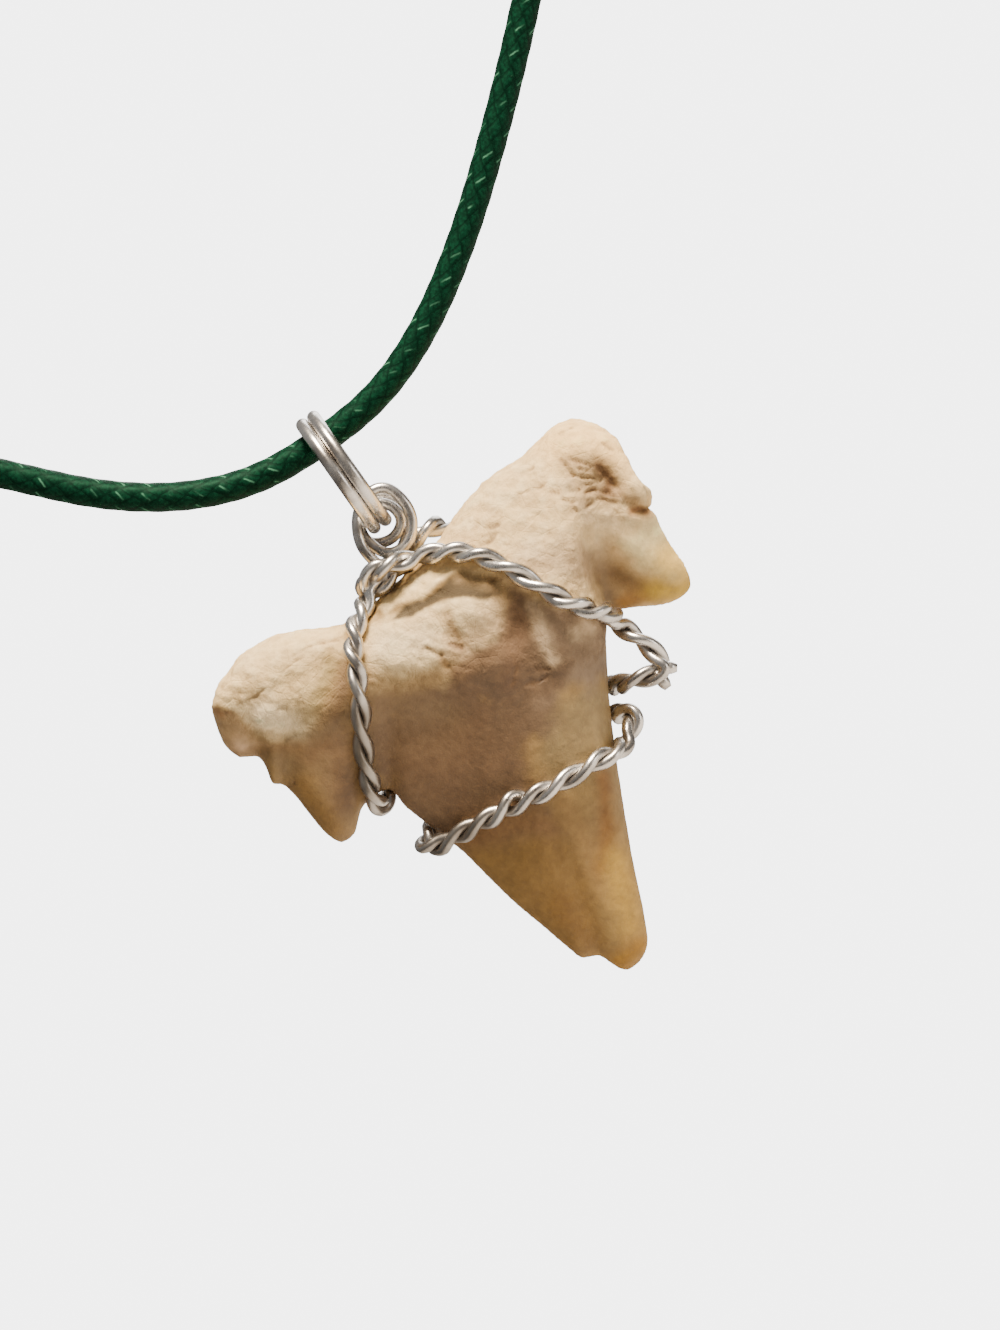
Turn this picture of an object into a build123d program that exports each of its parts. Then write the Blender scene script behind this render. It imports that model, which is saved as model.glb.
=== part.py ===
import math
import os

from build123d import *

# A shark tooth pendant on a cord, as it hangs. Millimetres, +Z up, the front faces -Y.
# The origin is the nape: the middle of the clasp, at the top of the cord's loop.

# Cord and clasp
cord_diameter = 2.0
clasp_length = 20.0
clasp_diameter = 5.6
clasp_waist_share = 0.80  # the grooved middle of the barrel, as a share of its diameter
clasp_mouth_wall = 0.8  # the rim round the cord at each end of the barrel

# Bail ring: a split ring of two turns of round wire
ring_length = 9.2
ring_wire = 0.9
ring_play = 0.15  # between the ring and the cord that it hangs on
ring_turn_gap = 0.05
ring_jog_angle = 40.0  # degrees of the turn in which the wire steps over to the second turn
ring_jog_place = 50.0  # degrees from the ring's top to the middle of that step

# Wrapping wire: one wire folded at the eye and twisted on itself
wire_diameter = 0.75
strand_gap = 0.08
twist_pitch = 4.4
wire_clearance = 0.06  # between the wire and the tooth
eye_play = 0.32  # sideways, between the eye and the two turns of the ring
eye_sag = 0.30  # how far the eye's centre lies below the ring's wire
steps_per_twist = 8
wire_sides = 6
ring_sides = 10

# Tooth
tooth_width = 33.0
tooth_height = 32.6
root_below_eye = 1.1  # from the eye's centre down to the top of the root's lobes
root_front = 4.8  # from the tooth's middle plane to its bulging front
root_back = 3.7
tooth_set_back = 0.25  # the middle plane lies behind the ring, so that the tooth hangs plumb

# The cord's route, clockwise from the clasp's right end, seen from the front: x, y, z
cord_route = [
    (24.2, 0.0, 0.0),
    (38.6, 0.0, -1.7),
    (52.8, 0.0, -4.8),
    (68.1, 0.0, -12.2),
    (78.3, 0.0, -25.8),
    (80.1, 0.0, -42.7),
    (75.3, 0.0, -59.5),
    (66.5, 0.0, -74.6),
    (55.5, 0.0, -88.2),
    (44.5, 0.0, -99.8),
    (34.5, 0.0, -109.6),
    (26.5, 0.0, -117.2),
    (20.6, 0.0, -122.3),
    (15.2, 0.0, -126.55),
    (10.0, 0.0, -129.8),
    (5.0, 0.0, -131.73),
    (0.0, 0.0, -132.08),
    (-5.2, 0.0, -131.7),
    (-9.8, 0.0, -129.8),
    (-14.0, 0.0, -126.7),
    (-17.8, 0.0, -122.6),
    (-22.6, 0.0, -117.2),
    (-29.5, 0.0, -109.3),
    (-38.6, 0.0, -98.6),
    (-48.8, 0.0, -86.3),
    (-59.5, 0.0, -72.5),
    (-68.6, 0.0, -57.6),
    (-74.6, 0.0, -41.2),
    (-73.7, 0.0, -24.2),
    (-64.8, 0.0, -10.9),
    (-50.5, 0.0, -3.6),
    (-37.2, 0.0, -1.2),
    (-23.6, 0.0, 0.0),
]
bearing_z = -132.0  # the cord's centre where the ring hangs on it
arc_share = 0.45  # of the shorter run beside a corner, taken by that corner's arc

# The root's upper edge, from the left lobe's end to the right lobe's end.
# Shares of the tooth's width, from the hanging line, and of its height, from the top.
# across, down
root_edge = [
    (-0.484, 0.060),
    (-0.465, 0.043),
    (-0.444, 0.033),
    (-0.381, 0.017),
    (-0.305, 0.022),
    (-0.241, 0.047),
    (-0.163, 0.085),
    (-0.033, 0.074),
    (0.063, 0.057),
    (0.144, 0.028),
    (0.226, 0.006),
    (0.308, 0.012),
    (0.391, 0.000),
    (0.439, 0.009),
    (0.472, 0.046),
    (0.488, 0.092),
    (0.477, 0.174),
    (0.486, 0.215),
    (0.483, 0.231),
]

# The lower edge, round the left cusplet, the blade and the right cusplet. Each row is also
# the foot of a section that starts on the root's edge, at a share of that edge's length, and
# has a share of the root's full thickness.
# across, down, above, bulk
crown_edge = [
    (-0.484, 0.060, 0.000, 0.00),
    (-0.501, 0.095, 0.014, 0.36),
    (-0.512, 0.142, 0.034, 0.50),
    (-0.504, 0.185, 0.064, 0.60),
    (-0.472, 0.206, 0.095, 0.66),
    (-0.473, 0.240, 0.126, 0.70),
    (-0.481, 0.269, 0.159, 0.71),
    (-0.464, 0.283, 0.185, 0.71),
    (-0.456, 0.329, 0.216, 0.71),
    (-0.449, 0.409, 0.240, 0.72),
    (-0.434, 0.447, 0.264, 0.73),
    (-0.399, 0.447, 0.288, 0.75),
    (-0.364, 0.417, 0.313, 0.77),
    (-0.332, 0.410, 0.342, 0.80),
    (-0.291, 0.416, 0.372, 0.84),
    (-0.288, 0.461, 0.398, 0.88),
    (-0.271, 0.518, 0.425, 0.92),
    (-0.243, 0.610, 0.454, 0.96),
    (-0.225, 0.715, 0.479, 0.99),
    (-0.200, 0.815, 0.503, 1.00),
    (-0.178, 0.898, 0.527, 1.00),
    (-0.168, 0.925, 0.552, 1.00),
    (-0.138, 0.939, 0.576, 1.00),
    (-0.128, 0.968, 0.599, 1.00),
    (-0.112, 0.997, 0.623, 1.00),
    (-0.082, 1.000, 0.648, 1.00),
    (-0.050, 0.984, 0.671, 0.99),
    (-0.027, 0.950, 0.692, 0.98),
    (0.006, 0.874, 0.713, 0.96),
    (0.043, 0.788, 0.737, 0.94),
    (0.092, 0.685, 0.761, 0.91),
    (0.152, 0.566, 0.784, 0.87),
    (0.215, 0.460, 0.802, 0.83),
    (0.265, 0.388, 0.823, 0.79),
    (0.298, 0.384, 0.844, 0.76),
    (0.360, 0.415, 0.864, 0.74),
    (0.407, 0.429, 0.883, 0.72),
    (0.436, 0.422, 0.903, 0.71),
    (0.442, 0.396, 0.926, 0.68),
    (0.445, 0.328, 0.952, 0.62),
    (0.449, 0.259, 0.972, 0.52),
    (0.470, 0.249, 0.987, 0.38),
    (0.483, 0.231, 1.000, 0.00),
]
columns_per_row = 2

# Thickness down each section, from the root's edge to the lower edge, as shares of the
# section's length and of its full thickness in front and behind
# along, front, back
thickness = [
    (0.000, 0.00, 0.00),
    (0.015, 0.31, 0.32),
    (0.050, 0.54, 0.57),
    (0.110, 0.76, 0.78),
    (0.190, 0.92, 0.92),
    (0.280, 1.00, 0.99),
    (0.380, 0.97, 1.00),
    (0.480, 0.86, 0.95),
    (0.580, 0.75, 0.86),
    (0.680, 0.63, 0.74),
    (0.780, 0.50, 0.60),
    (0.870, 0.37, 0.44),
    (0.940, 0.24, 0.28),
    (0.985, 0.12, 0.13),
    (1.000, 0.00, 0.00),
]

# Swellings and hollows of the root's front: place and reach as shares of the tooth's width
# and height, and how far they stand out as a share of the root's front
# across, down, wide, tall, rise
front_relief = [
    (0.043, 0.215, 0.070, 0.070, 0.12),
    (-0.085, 0.190, 0.080, 0.060, 0.08),
    (0.105, 0.320, 0.035, 0.120, -0.12),
    (0.325, 0.290, 0.050, 0.070, -0.16),
    (0.395, 0.130, 0.045, 0.050, -0.08),
]

# The wire's route over the tooth, from the eye's foot to the wire's end behind the root.
# Places are shares of the tooth's width and height. The face is -1 on the front, 1 on the
# back and 0 off the edge. What it stands out is in wire diameters, plus towards the back.
# across, down, face, out
wire_route = [
    (-0.017, 0.023, 0.0, 0.0),  # down over the root's edge, left of its middle
    (-0.036, 0.048, 0.0, -0.9),
    (-0.070, 0.071, -0.5, -1.9),
    (-0.106, 0.084, -1.0, -0.4),
    (-0.145, 0.106, -1.0, 0.0),  # down the front beside the left cusplet
    (-0.182, 0.135, -1.0, 0.0),
    (-0.212, 0.193, -1.0, 0.0),
    (-0.248, 0.255, -1.0, 0.0),
    (-0.282, 0.307, -1.0, 0.0),
    (-0.306, 0.359, -1.0, 0.0),
    (-0.319, 0.388, -1.0, 0.0),
    (-0.328, 0.408, -0.7, 0.0),  # under the left notch
    (-0.327, 0.421, 0.0, 0.0),
    (-0.307, 0.418, 0.7, 0.0),
    (-0.267, 0.396, 1.0, 0.0),  # low across the back
    (-0.197, 0.417, 1.0, 0.0),
    (-0.058, 0.466, 1.0, 0.0),
    (0.085, 0.512, 1.0, 0.0),
    (0.146, 0.543, 1.0, 0.0),
    (0.188, 0.561, 0.5, 0.0),  # round the blade's right edge
    (0.197, 0.577, -0.2, 0.0),
    (0.177, 0.598, -0.8, 0.0),
    (0.128, 0.607, -1.0, 0.0),  # low across the front
    (0.079, 0.607, -1.0, 0.0),
    (-0.003, 0.601, -1.0, 0.0),
    (-0.092, 0.587, -1.0, 0.0),
    (-0.182, 0.575, -1.0, 0.0),
    (-0.245, 0.569, -1.0, 0.0),
    (-0.289, 0.564, -0.6, 0.0),  # round the blade's left edge
    (-0.301, 0.552, 0.0, 0.0),
    (-0.282, 0.534, 0.7, 0.0),
    (-0.230, 0.521, 1.0, 0.0),  # high across the back, over the first pass
    (-0.161, 0.500, 1.0, 1.0),
    (-0.100, 0.454, 1.0, 2.6),
    (-0.050, 0.425, 1.0, 1.8),
    (0.027, 0.408, 1.0, 0.0),
    (0.115, 0.452, 1.0, 0.0),
    (0.170, 0.487, 1.0, 0.0),
    (0.212, 0.508, 0.2, 0.0),  # the kink that stands off the blade's right edge
    (0.248, 0.526, 0.0, -0.4),
    (0.279, 0.538, 0.0, -0.6),
    (0.306, 0.540, 0.0, -0.6),
    (0.318, 0.516, 0.0, -0.6),
    (0.309, 0.480, 0.0, -0.6),
    (0.288, 0.430, 0.0, -0.6),
    (0.265, 0.380, -1.0, 0.0),  # up across the front of the root
    (0.239, 0.340, -1.0, 0.0),
    (0.209, 0.294, -1.0, 0.0),
    (0.180, 0.229, -1.0, 0.0),
    (0.153, 0.172, -1.0, 0.0),
    (0.118, 0.123, -1.0, 0.0),
    (0.070, 0.083, -1.0, 0.0),
    (0.018, 0.052, -0.9, -2.4),  # once round the neck
    (-0.033, 0.026, 0.0, -4.1),
    (-0.084, 0.016, 0.0, -4.0),
    (-0.128, 0.018, 0.0, -1.9),
    (-0.126, 0.028, 0.0, 0.8),
    (-0.081, 0.036, 0.0, 2.2),
    (-0.024, 0.036, 0.0, 2.4),
    (0.033, 0.026, 0.0, 1.8),
    (0.076, 0.022, 0.0, 1.2),
    (0.109, 0.040, 0.9, 2.0),
    (0.124, 0.095, 1.0, 0.4),
    (0.109, 0.156, 1.0, 0.0),
]

# Worked out from the sizes above
cord_radius = cord_diameter / 2
ring_inner_radius = ring_length / 2 - ring_wire
ring_mean_radius = ring_inner_radius + ring_wire / 2
ring_centre_z = bearing_z + cord_radius + ring_play - ring_inner_radius
ring_turn_step = ring_wire + ring_turn_gap
pivot_z = ring_centre_z - ring_mean_radius
eye_radius = ring_turn_step / 2 + ring_wire / 2 + eye_play + wire_diameter / 2
eye_centre_z = pivot_z - eye_sag
tooth_top_z = eye_centre_z - root_below_eye
strand_offset = (wire_diameter + strand_gap) / 2
stand_off = strand_offset + wire_diameter / 2 + wire_clearance


def on_curve(rows, place):
    """The values of a table on a smooth curve through its rows, at a place counted in rows."""
    index = min(int(place), len(rows) - 2)
    t = place - index
    near = [rows[min(max(index + step, 0), len(rows) - 1)] for step in (-1, 0, 1, 2)]
    return tuple(
        b + 0.5 * t * (c - a + t * (2 * a - 5 * b + 4 * c - d + t * (3 * b - a - 3 * c + d)))
        for a, b, c, d in zip(*near)
    )


def lengths_along(points):
    """The length of a run of points from its start to each of them."""
    lengths = [0.0]
    for start, end in zip(points, points[1:]):
        lengths.append(lengths[-1] + math.dist(start, end))
    return lengths


def at_length(points, lengths, length):
    """The point at a length along a run of points."""
    index = 0
    while index < len(points) - 2 and lengths[index + 1] < length:
        index += 1
    share = (length - lengths[index]) / (lengths[index + 1] - lengths[index])
    return tuple(a + share * (b - a) for a, b in zip(points[index], points[index + 1]))


def faceted_solid(triangles):
    """A closed solid of flat triangles, without those that have shrunk to a line."""
    faces = []
    for corners in triangles:
        if min(math.dist(corners[i], corners[i - 1]) for i in range(3)) > 1e-4:
            faces.append(Face(Wire.make_polygon(corners)))
    return Solid(Shell(faces))


def cross(a, b):
    return (a[1] * b[2] - a[2] * b[1], a[2] * b[0] - a[0] * b[2], a[0] * b[1] - a[1] * b[0])


def scaled(a, factor):
    return tuple(factor * value for value in a)


def added(a, b):
    return tuple(p + q for p, q in zip(a, b))


def less(a, b):
    return tuple(p - q for p, q in zip(a, b))


def dot(a, b):
    return sum(p * q for p, q in zip(a, b))


def unit(a):
    return scaled(a, 1 / math.hypot(*a))


def frames_along(points, first_side):
    """Direction, side and top vectors at each point, turning no more than the path does."""
    frames = []
    side = first_side
    for index in range(len(points)):
        before = points[max(index - 1, 0)]
        after = points[min(index + 1, len(points) - 1)]
        ahead = unit(less(after, before))
        side = unit(less(side, scaled(ahead, dot(side, ahead))))
        frames.append((ahead, side, cross(ahead, side)))
    return frames


def tube_triangles(points, radius, sides, first_side):
    """The triangles of a round wire along points, with flat ends."""
    rings = []
    for point, (ahead, side, top) in zip(points, frames_along(points, first_side)):
        ring = []
        for corner in range(sides):
            angle = 2 * math.pi * corner / sides
            reach = added(scaled(side, radius * math.cos(angle)), scaled(top, radius * math.sin(angle)))
            ring.append(added(point, reach))
        rings.append(ring)
    triangles = []
    for low, high in zip(rings, rings[1:]):
        for corner in range(sides):
            following = (corner + 1) % sides
            triangles.append((low[corner], low[following], high[following]))
            triangles.append((low[corner], high[following], high[corner]))
    for corner in range(1, sides - 1):
        triangles.append((rings[0][0], rings[0][corner + 1], rings[0][corner]))
        triangles.append((rings[-1][0], rings[-1][corner], rings[-1][corner + 1]))
    return triangles


# Tooth: sections from the root's edge to the lower edge, thick at the root and thin at the
# lower edge, joined into a front and a back that share both edges
root_curve = [on_curve(root_edge, step / 4) for step in range(4 * (len(root_edge) - 1) + 1)]
root_curve = [(across * tooth_width, down * tooth_height) for across, down in root_curve]
root_lengths = lengths_along(root_curve)


def relief(across, down):
    """How far the front stands out from its plain thickness, as a share of the root's front."""
    return sum(
        rise * math.exp(-(((across - x) / wide) ** 2) - ((down - z) / tall) ** 2)
        for x, z, wide, tall, rise in front_relief
    )


def section_points(place):
    """The front and back points of the section at a place counted in rows of the lower edge."""
    across, down, above, bulk = on_curve(crown_edge, place)
    above = min(max(above, 0.0), 1.0)
    top_x, top_down = at_length(root_curve, root_lengths, above * root_lengths[-1])
    front = []
    back = []
    for along, front_share, back_share in thickness:
        x = top_x + along * (across * tooth_width - top_x)
        height = top_down + along * (down * tooth_height - top_down)
        swell = relief(x / tooth_width, height / tooth_height) * min(front_share, 1.0)
        bulk_here = max(bulk, 0.0)
        z = tooth_top_z - height
        front.append((x, tooth_set_back - bulk_here * root_front * (front_share + swell), z))
        back.append((x, tooth_set_back + bulk_here * root_back * back_share, z))
    return front, back


section_count = columns_per_row * (len(crown_edge) - 1)
sections = [section_points(index / columns_per_row) for index in range(section_count + 1)]
front_triangles = []
back_triangles = []
for (front, back), (next_front, next_back) in zip(sections, sections[1:]):
    for row in range(len(thickness) - 1):
        front_triangles.append((front[row], front[row + 1], next_front[row + 1]))
        front_triangles.append((front[row], next_front[row + 1], next_front[row]))
        back_triangles.append((back[row], next_back[row + 1], back[row + 1]))
        back_triangles.append((back[row], next_back[row], next_back[row + 1]))

with BuildPart() as shark_tooth:
    add(faceted_solid(front_triangles + back_triangles), clean=False)


# Wrapping wire: its middle line lies on the tooth, and its two strands turn round that line
def by_cell(triangles):
    """The triangles of one face of the tooth, sorted into square cells seen from the front."""
    cells = {}
    for triangle in triangles:
        columns = [math.floor(corner[0] / cell_size) for corner in triangle]
        rows = [math.floor(corner[2] / cell_size) for corner in triangle]
        for column in range(min(columns), max(columns) + 1):
            for row in range(min(rows), max(rows) + 1):
                cells.setdefault((column, row), []).append(triangle)
    return cells


def skin_at(x, z, face):
    """The depth of one face of the tooth at a place, or None outside its outline."""
    cells = front_cells if face < 0 else back_cells
    for (ax, ay, az), (bx, by, bz), (cx, cy, cz) in cells.get((x // cell_size, z // cell_size), []):
        area = (bx - ax) * (cz - az) - (cx - ax) * (bz - az)
        if abs(area) > 1e-9:
            b_share = ((x - ax) * (cz - az) - (cx - ax) * (z - az)) / area
            c_share = ((bx - ax) * (z - az) - (x - ax) * (bz - az)) / area
            if b_share >= 0 and c_share >= 0 and b_share + c_share <= 1:
                return ay + b_share * (by - ay) + c_share * (cy - ay)
    return None


def route_point(values):
    """The place of a row of the wire's route, on the tooth's face or off its edge."""
    across, down, face, out = values
    x = across * tooth_width
    z = tooth_top_z - down * tooth_height
    skin = skin_at(x, z, face)
    depth = tooth_set_back + face * stand_off
    if skin is not None:
        side = -1 if face < 0 else 1
        depth = skin + side * stand_off
    elif abs(face) < 0.1:
        depth = 0.0
    return (x, depth + out * wire_diameter, z)


def nearest_on(corners, point):
    """The point of a triangle that lies nearest to a point."""
    a, b, c = corners
    out = cross(less(b, a), less(c, a))
    size = math.hypot(*out)
    if size > 1e-9:
        out = scaled(out, 1 / size)
        foot = less(point, scaled(out, dot(less(point, a), out)))
        if all(dot(cross(less(q, p), less(foot, p)), out) >= 0 for p, q in ((a, b), (b, c), (c, a))):
            return foot
    feet = []
    for p, q in ((a, b), (b, c), (c, a)):
        run = less(q, p)
        share = dot(less(point, p), run) / max(dot(run, run), 1e-12)
        feet.append(added(p, scaled(run, min(max(share, 0.0), 1.0))))
    return min(feet, key=lambda foot: math.dist(foot, point))


def kept_clear(point):
    """The point, moved off the tooth where it is nearer than the twisted wire's radius."""
    x, y, z = point
    side = -1 if y < tooth_set_back else 1
    skin = skin_at(x, z, side)
    if skin is not None:
        y = side * max(side * y, side * skin + wire_clearance)
    column, row = x // cell_size, z // cell_size
    close_by = set()
    for cell in [(column + i, row + j) for i in (-1, 0, 1) for j in (-1, 0, 1)]:
        close_by.update(front_cells.get(cell, []) + back_cells.get(cell, []))
    point = (x, y, z)
    feet = [nearest_on(corners, point) for corners in close_by]
    if not feet:
        return point
    nearest = min(feet, key=lambda foot: math.dist(foot, point))
    gap = math.dist(nearest, point)
    return added(point, scaled(less(point, nearest), max(stand_off - gap, 0.0) / gap))


cell_size = 1.0
front_cells = by_cell(front_triangles)
back_cells = by_cell(back_triangles)
samples_per_row = 6
sample_count = samples_per_row * (len(wire_route) - 1)
route_values = [on_curve(wire_route, index / samples_per_row) for index in range(sample_count + 1)]
middle_line = [route_point(values) for values in route_values]
for smoothing in range(4):
    eased = middle_line[:1]
    for before, here, after in zip(middle_line, middle_line[1:], middle_line[2:]):
        eased.append(tuple(0.25 * a + 0.5 * b + 0.25 * c for a, b, c in zip(before, here, after)))
    eased.append(middle_line[-1])
    middle_line = [eased[0]]
    middle_line += [kept_clear(point) for point in eased[1:]]

line_lengths = lengths_along(middle_line)
step_count = round(line_lengths[-1] / twist_pitch * steps_per_twist)
step_length = line_lengths[-1] / step_count
even_line = [at_length(middle_line, line_lengths, step * step_length) for step in range(step_count + 1)]
middle_line = even_line[:1] + [kept_clear(point) for point in even_line[1:]]
strands = ([], [])
for step, (point, (ahead, side, top)) in enumerate(zip(middle_line, frames_along(middle_line, (1, 0, 0)))):
    angle = -2 * math.pi * step / steps_per_twist  # a left-hand twist
    reach = added(
        scaled(side, strand_offset * math.cos(angle)), scaled(top, strand_offset * math.sin(angle))
    )
    strands[0].append(added(point, reach))
    strands[1].append(added(point, scaled(reach, -1)))

eye_points = []
for degrees in range(-45, 226, 18):
    angle = math.radians(degrees)
    eye_points.append((eye_radius * math.cos(angle), 0.0, eye_centre_z + eye_radius * math.sin(angle)))
wire_points = strands[0][::-1] + eye_points + strands[1]

with BuildPart() as wire_wrap:
    wire_triangles = tube_triangles(wire_points, wire_diameter / 2, wire_sides, (0, 1, 0))
    add(faceted_solid(wire_triangles), clean=False)

# Bail ring: the first turn lies on the left, the second on the right, with a quick step over
# between them at the front, under the cord's top
ring_steps_per_turn = 30
jog = math.radians(ring_jog_angle)
jog_middle = math.radians(ring_jog_place)


def ring_point(turned):
    """A point of the ring's wire, at an angle turned since its first end."""
    along_jog = (turned - (2 * math.pi - jog)) / jog
    share = min(max(along_jog, 0.0), 1.0)
    side = (share * share * (3 - 2 * share) - 0.5) * ring_turn_step
    angle = jog_middle + jog / 2 + turned
    y = -ring_mean_radius * math.sin(angle)
    return (side, y, ring_centre_z + ring_mean_radius * math.cos(angle))


ring_turned = 2 * (2 * math.pi) - jog - 2 * math.radians(ring_jog_place) / 10
ring_count = round(2 * ring_steps_per_turn * ring_turned / (4 * math.pi))
ring_points = [ring_point(ring_turned * step / ring_count) for step in range(ring_count + 1)]

with BuildPart() as bail_ring:
    ring_triangles = tube_triangles(ring_points, ring_wire / 2, ring_sides, (1, 0, 0))
    add(faceted_solid(ring_triangles), clean=False)

# Cord: straight runs joined by arcs as large as the runs allow, from one end of the clasp
# round to the other
clasp_end = clasp_length / 2
cord_points = [(clasp_end, 0.0, 0.0)] + cord_route + [(-clasp_end, 0.0, 0.0)]
cord_points = [Vector(*point) for point in cord_points]
arc_radii = []
for before, corner, after in zip(cord_points, cord_points[1:], cord_points[2:]):
    shorter_run = min((corner - before).length, (after - corner).length)
    turn = math.radians((corner - before).get_angle(after - corner))
    arc_radii.append(arc_share * shorter_run / math.tan(turn / 2))

with BuildPart() as neck_cord:
    with BuildLine() as cord_line:
        FilletPolyline(*cord_points, radius=arc_radii)
    with BuildSketch(Plane(origin=cord_points[0], z_dir=cord_points[1] - cord_points[0])):
        Circle(cord_radius)
    sweep(path=cord_line.wire())

# Clasp: a turned barrel with domed shoulders, a grooved waist and a mouth for each cord end
mouth_radius = cord_radius + clasp_mouth_wall
body_radius = clasp_diameter / 2
waist_radius = body_radius * clasp_waist_share
shoulder = body_radius
waist_half = clasp_length / 16

with BuildPart() as barrel_clasp:
    with BuildSketch(Plane.XY):
        with BuildLine():
            Polyline((-clasp_end, 0), (-clasp_end, mouth_radius))
            ThreePointArc(
                (-clasp_end, mouth_radius),
                (-clasp_end + shoulder * 0.35, mouth_radius + (body_radius - mouth_radius) * 0.72),
                (-clasp_end + shoulder, body_radius),
            )
            Polyline(
                (-clasp_end + shoulder, body_radius),
                (-waist_half, body_radius),
                (-waist_half / 2, waist_radius),
                (waist_half / 2, waist_radius),
                (waist_half, body_radius),
                (clasp_end - shoulder, body_radius),
            )
            ThreePointArc(
                (clasp_end - shoulder, body_radius),
                (clasp_end - shoulder * 0.35, mouth_radius + (body_radius - mouth_radius) * 0.72),
                (clasp_end, mouth_radius),
            )
            Polyline((clasp_end, mouth_radius), (clasp_end, 0), (-clasp_end, 0))
        make_face()
    revolve(axis=Axis.X)

# Written out, one file for each piece
os.makedirs("parts", exist_ok=True)
pieces = {
    "shark_tooth": shark_tooth,
    "wire_wrap": wire_wrap,
    "bail_ring": bail_ring,
    "neck_cord": neck_cord,
    "barrel_clasp": barrel_clasp,
}
for name, piece in pieces.items():
    piece.part.label = name
    export_step(piece.part, f"parts/{name}.step")

cord_length = cord_line.wire().length
section = math.pi * cord_radius**2
share_of_full = neck_cord.part.volume / (section * cord_length)
print("cord radii", [round(radius, 1) for radius in arc_radii])
print("cord length", round(cord_length, 1), "volume over section times length", round(share_of_full, 4))
print("twisted wire", round(line_lengths[-1], 1), "facets", len(wire_triangles + ring_triangles))
for name, piece in pieces.items():
    print(name, round(piece.part.volume, 1), piece.part.center(CenterOf.MASS))
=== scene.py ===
import math

import bmesh
import bpy
import numpy as np
from mathutils import Matrix, Vector, noise
from mathutils.bvhtree import BVHTree
from mathutils.kdtree import KDTree


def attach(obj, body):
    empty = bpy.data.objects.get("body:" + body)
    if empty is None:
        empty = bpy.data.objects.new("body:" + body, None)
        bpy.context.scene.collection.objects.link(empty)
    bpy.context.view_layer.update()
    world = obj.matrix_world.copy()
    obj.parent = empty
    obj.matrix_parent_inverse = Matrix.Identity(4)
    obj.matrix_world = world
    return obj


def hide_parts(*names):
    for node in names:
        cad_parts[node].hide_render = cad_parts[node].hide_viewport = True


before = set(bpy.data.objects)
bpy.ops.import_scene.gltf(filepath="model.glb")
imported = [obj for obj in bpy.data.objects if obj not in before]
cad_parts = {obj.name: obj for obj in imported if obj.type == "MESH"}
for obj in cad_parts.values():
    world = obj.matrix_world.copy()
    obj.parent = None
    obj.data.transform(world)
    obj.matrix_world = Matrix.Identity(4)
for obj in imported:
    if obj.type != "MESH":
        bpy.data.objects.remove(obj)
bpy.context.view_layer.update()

# Camera and studio. The necklace hangs plumb and the photograph was taken square to its front,
# with the camera rolled clockwise until the cord's left leg lay almost level. Three soft lights
# and a pale floor that fades out make the studio.
millimetre = 0.001
picture_wide, picture_high = 1000, 1330
pixels_per_mm = 15.0
picture_roll = math.radians(35.0)
ring_on_cord = Vector((0.0, 0.0, -0.132))
ring_in_picture = (322.0, 441.0)
camera_away = 0.36
camera_sensor = 24.0  # in millimetres
floor_height = -0.30
floor_reach = 0.50
floor_fades = 0.55  # from here on, as a share of its reach
floor_around = 96
wall_below = (0.10, 0.085, 0.07, 1.0)
wall_above = (0.30, 0.29, 0.28, 1.0)
backdrop_white = (5.0, 5.0, 5.0, 1.0)
lit_spot = (440, 700)  # in the picture, at which the lights aim

camera_right = Vector((math.cos(picture_roll), 0.0, -math.sin(picture_roll)))
camera_up = Vector((math.sin(picture_roll), 0.0, math.cos(picture_roll)))
pixel = millimetre / pixels_per_mm


def in_picture(px, py):
    """The place that a pixel of the photograph shows, on the plane of the hanging line."""
    across = (px - ring_in_picture[0]) * pixel
    down = (py - ring_in_picture[1]) * pixel
    return ring_on_cord + across * camera_right - down * camera_up


camera = bpy.data.objects.new("camera", bpy.data.cameras.new("camera"))
bpy.context.scene.collection.objects.link(camera)
camera.data.sensor_width = camera_sensor
camera.data.lens = camera_sensor * camera_away / (picture_high * pixel)
camera_turn = Matrix((camera_right, camera_up, Vector((0.0, -1.0, 0.0)))).transposed().to_4x4()
camera_place = in_picture(picture_wide / 2, picture_high / 2) - camera_away * Vector((0.0, 1.0, 0.0))
camera.matrix_world = Matrix.Translation(camera_place) @ camera_turn
bpy.context.scene.camera = camera


class Field:
    """A node's output, on which Python's operators add Math nodes."""

    def __init__(self, finish, link):
        self.finish, self.link = finish, link

    def maths(self, operation, *values):
        return self.finish.node("ShaderNodeMath", {"operation": operation}, dict(enumerate(values)))

    def __add__(self, other):
        return self.maths("ADD", self, other)

    def __sub__(self, other):
        return self.maths("SUBTRACT", self, other)

    def __rsub__(self, other):
        return self.maths("SUBTRACT", other, self)

    def __mul__(self, other):
        return self.maths("MULTIPLY", self, other)

    def __mod__(self, other):
        return self.maths("FLOORED_MODULO", self, other)

    def __abs__(self):
        return self.maths("ABSOLUTE", self)

    __radd__, __rmul__ = __add__, __mul__

    def kept_within(self, low, high):
        """This value, run from 0 at low to 1 at high and held there."""
        sockets = {0: self, 1: low, 2: high}
        return self.finish.node("ShaderNodeMapRange", {"interpolation_type": "SMOOTHSTEP"}, sockets)


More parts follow.
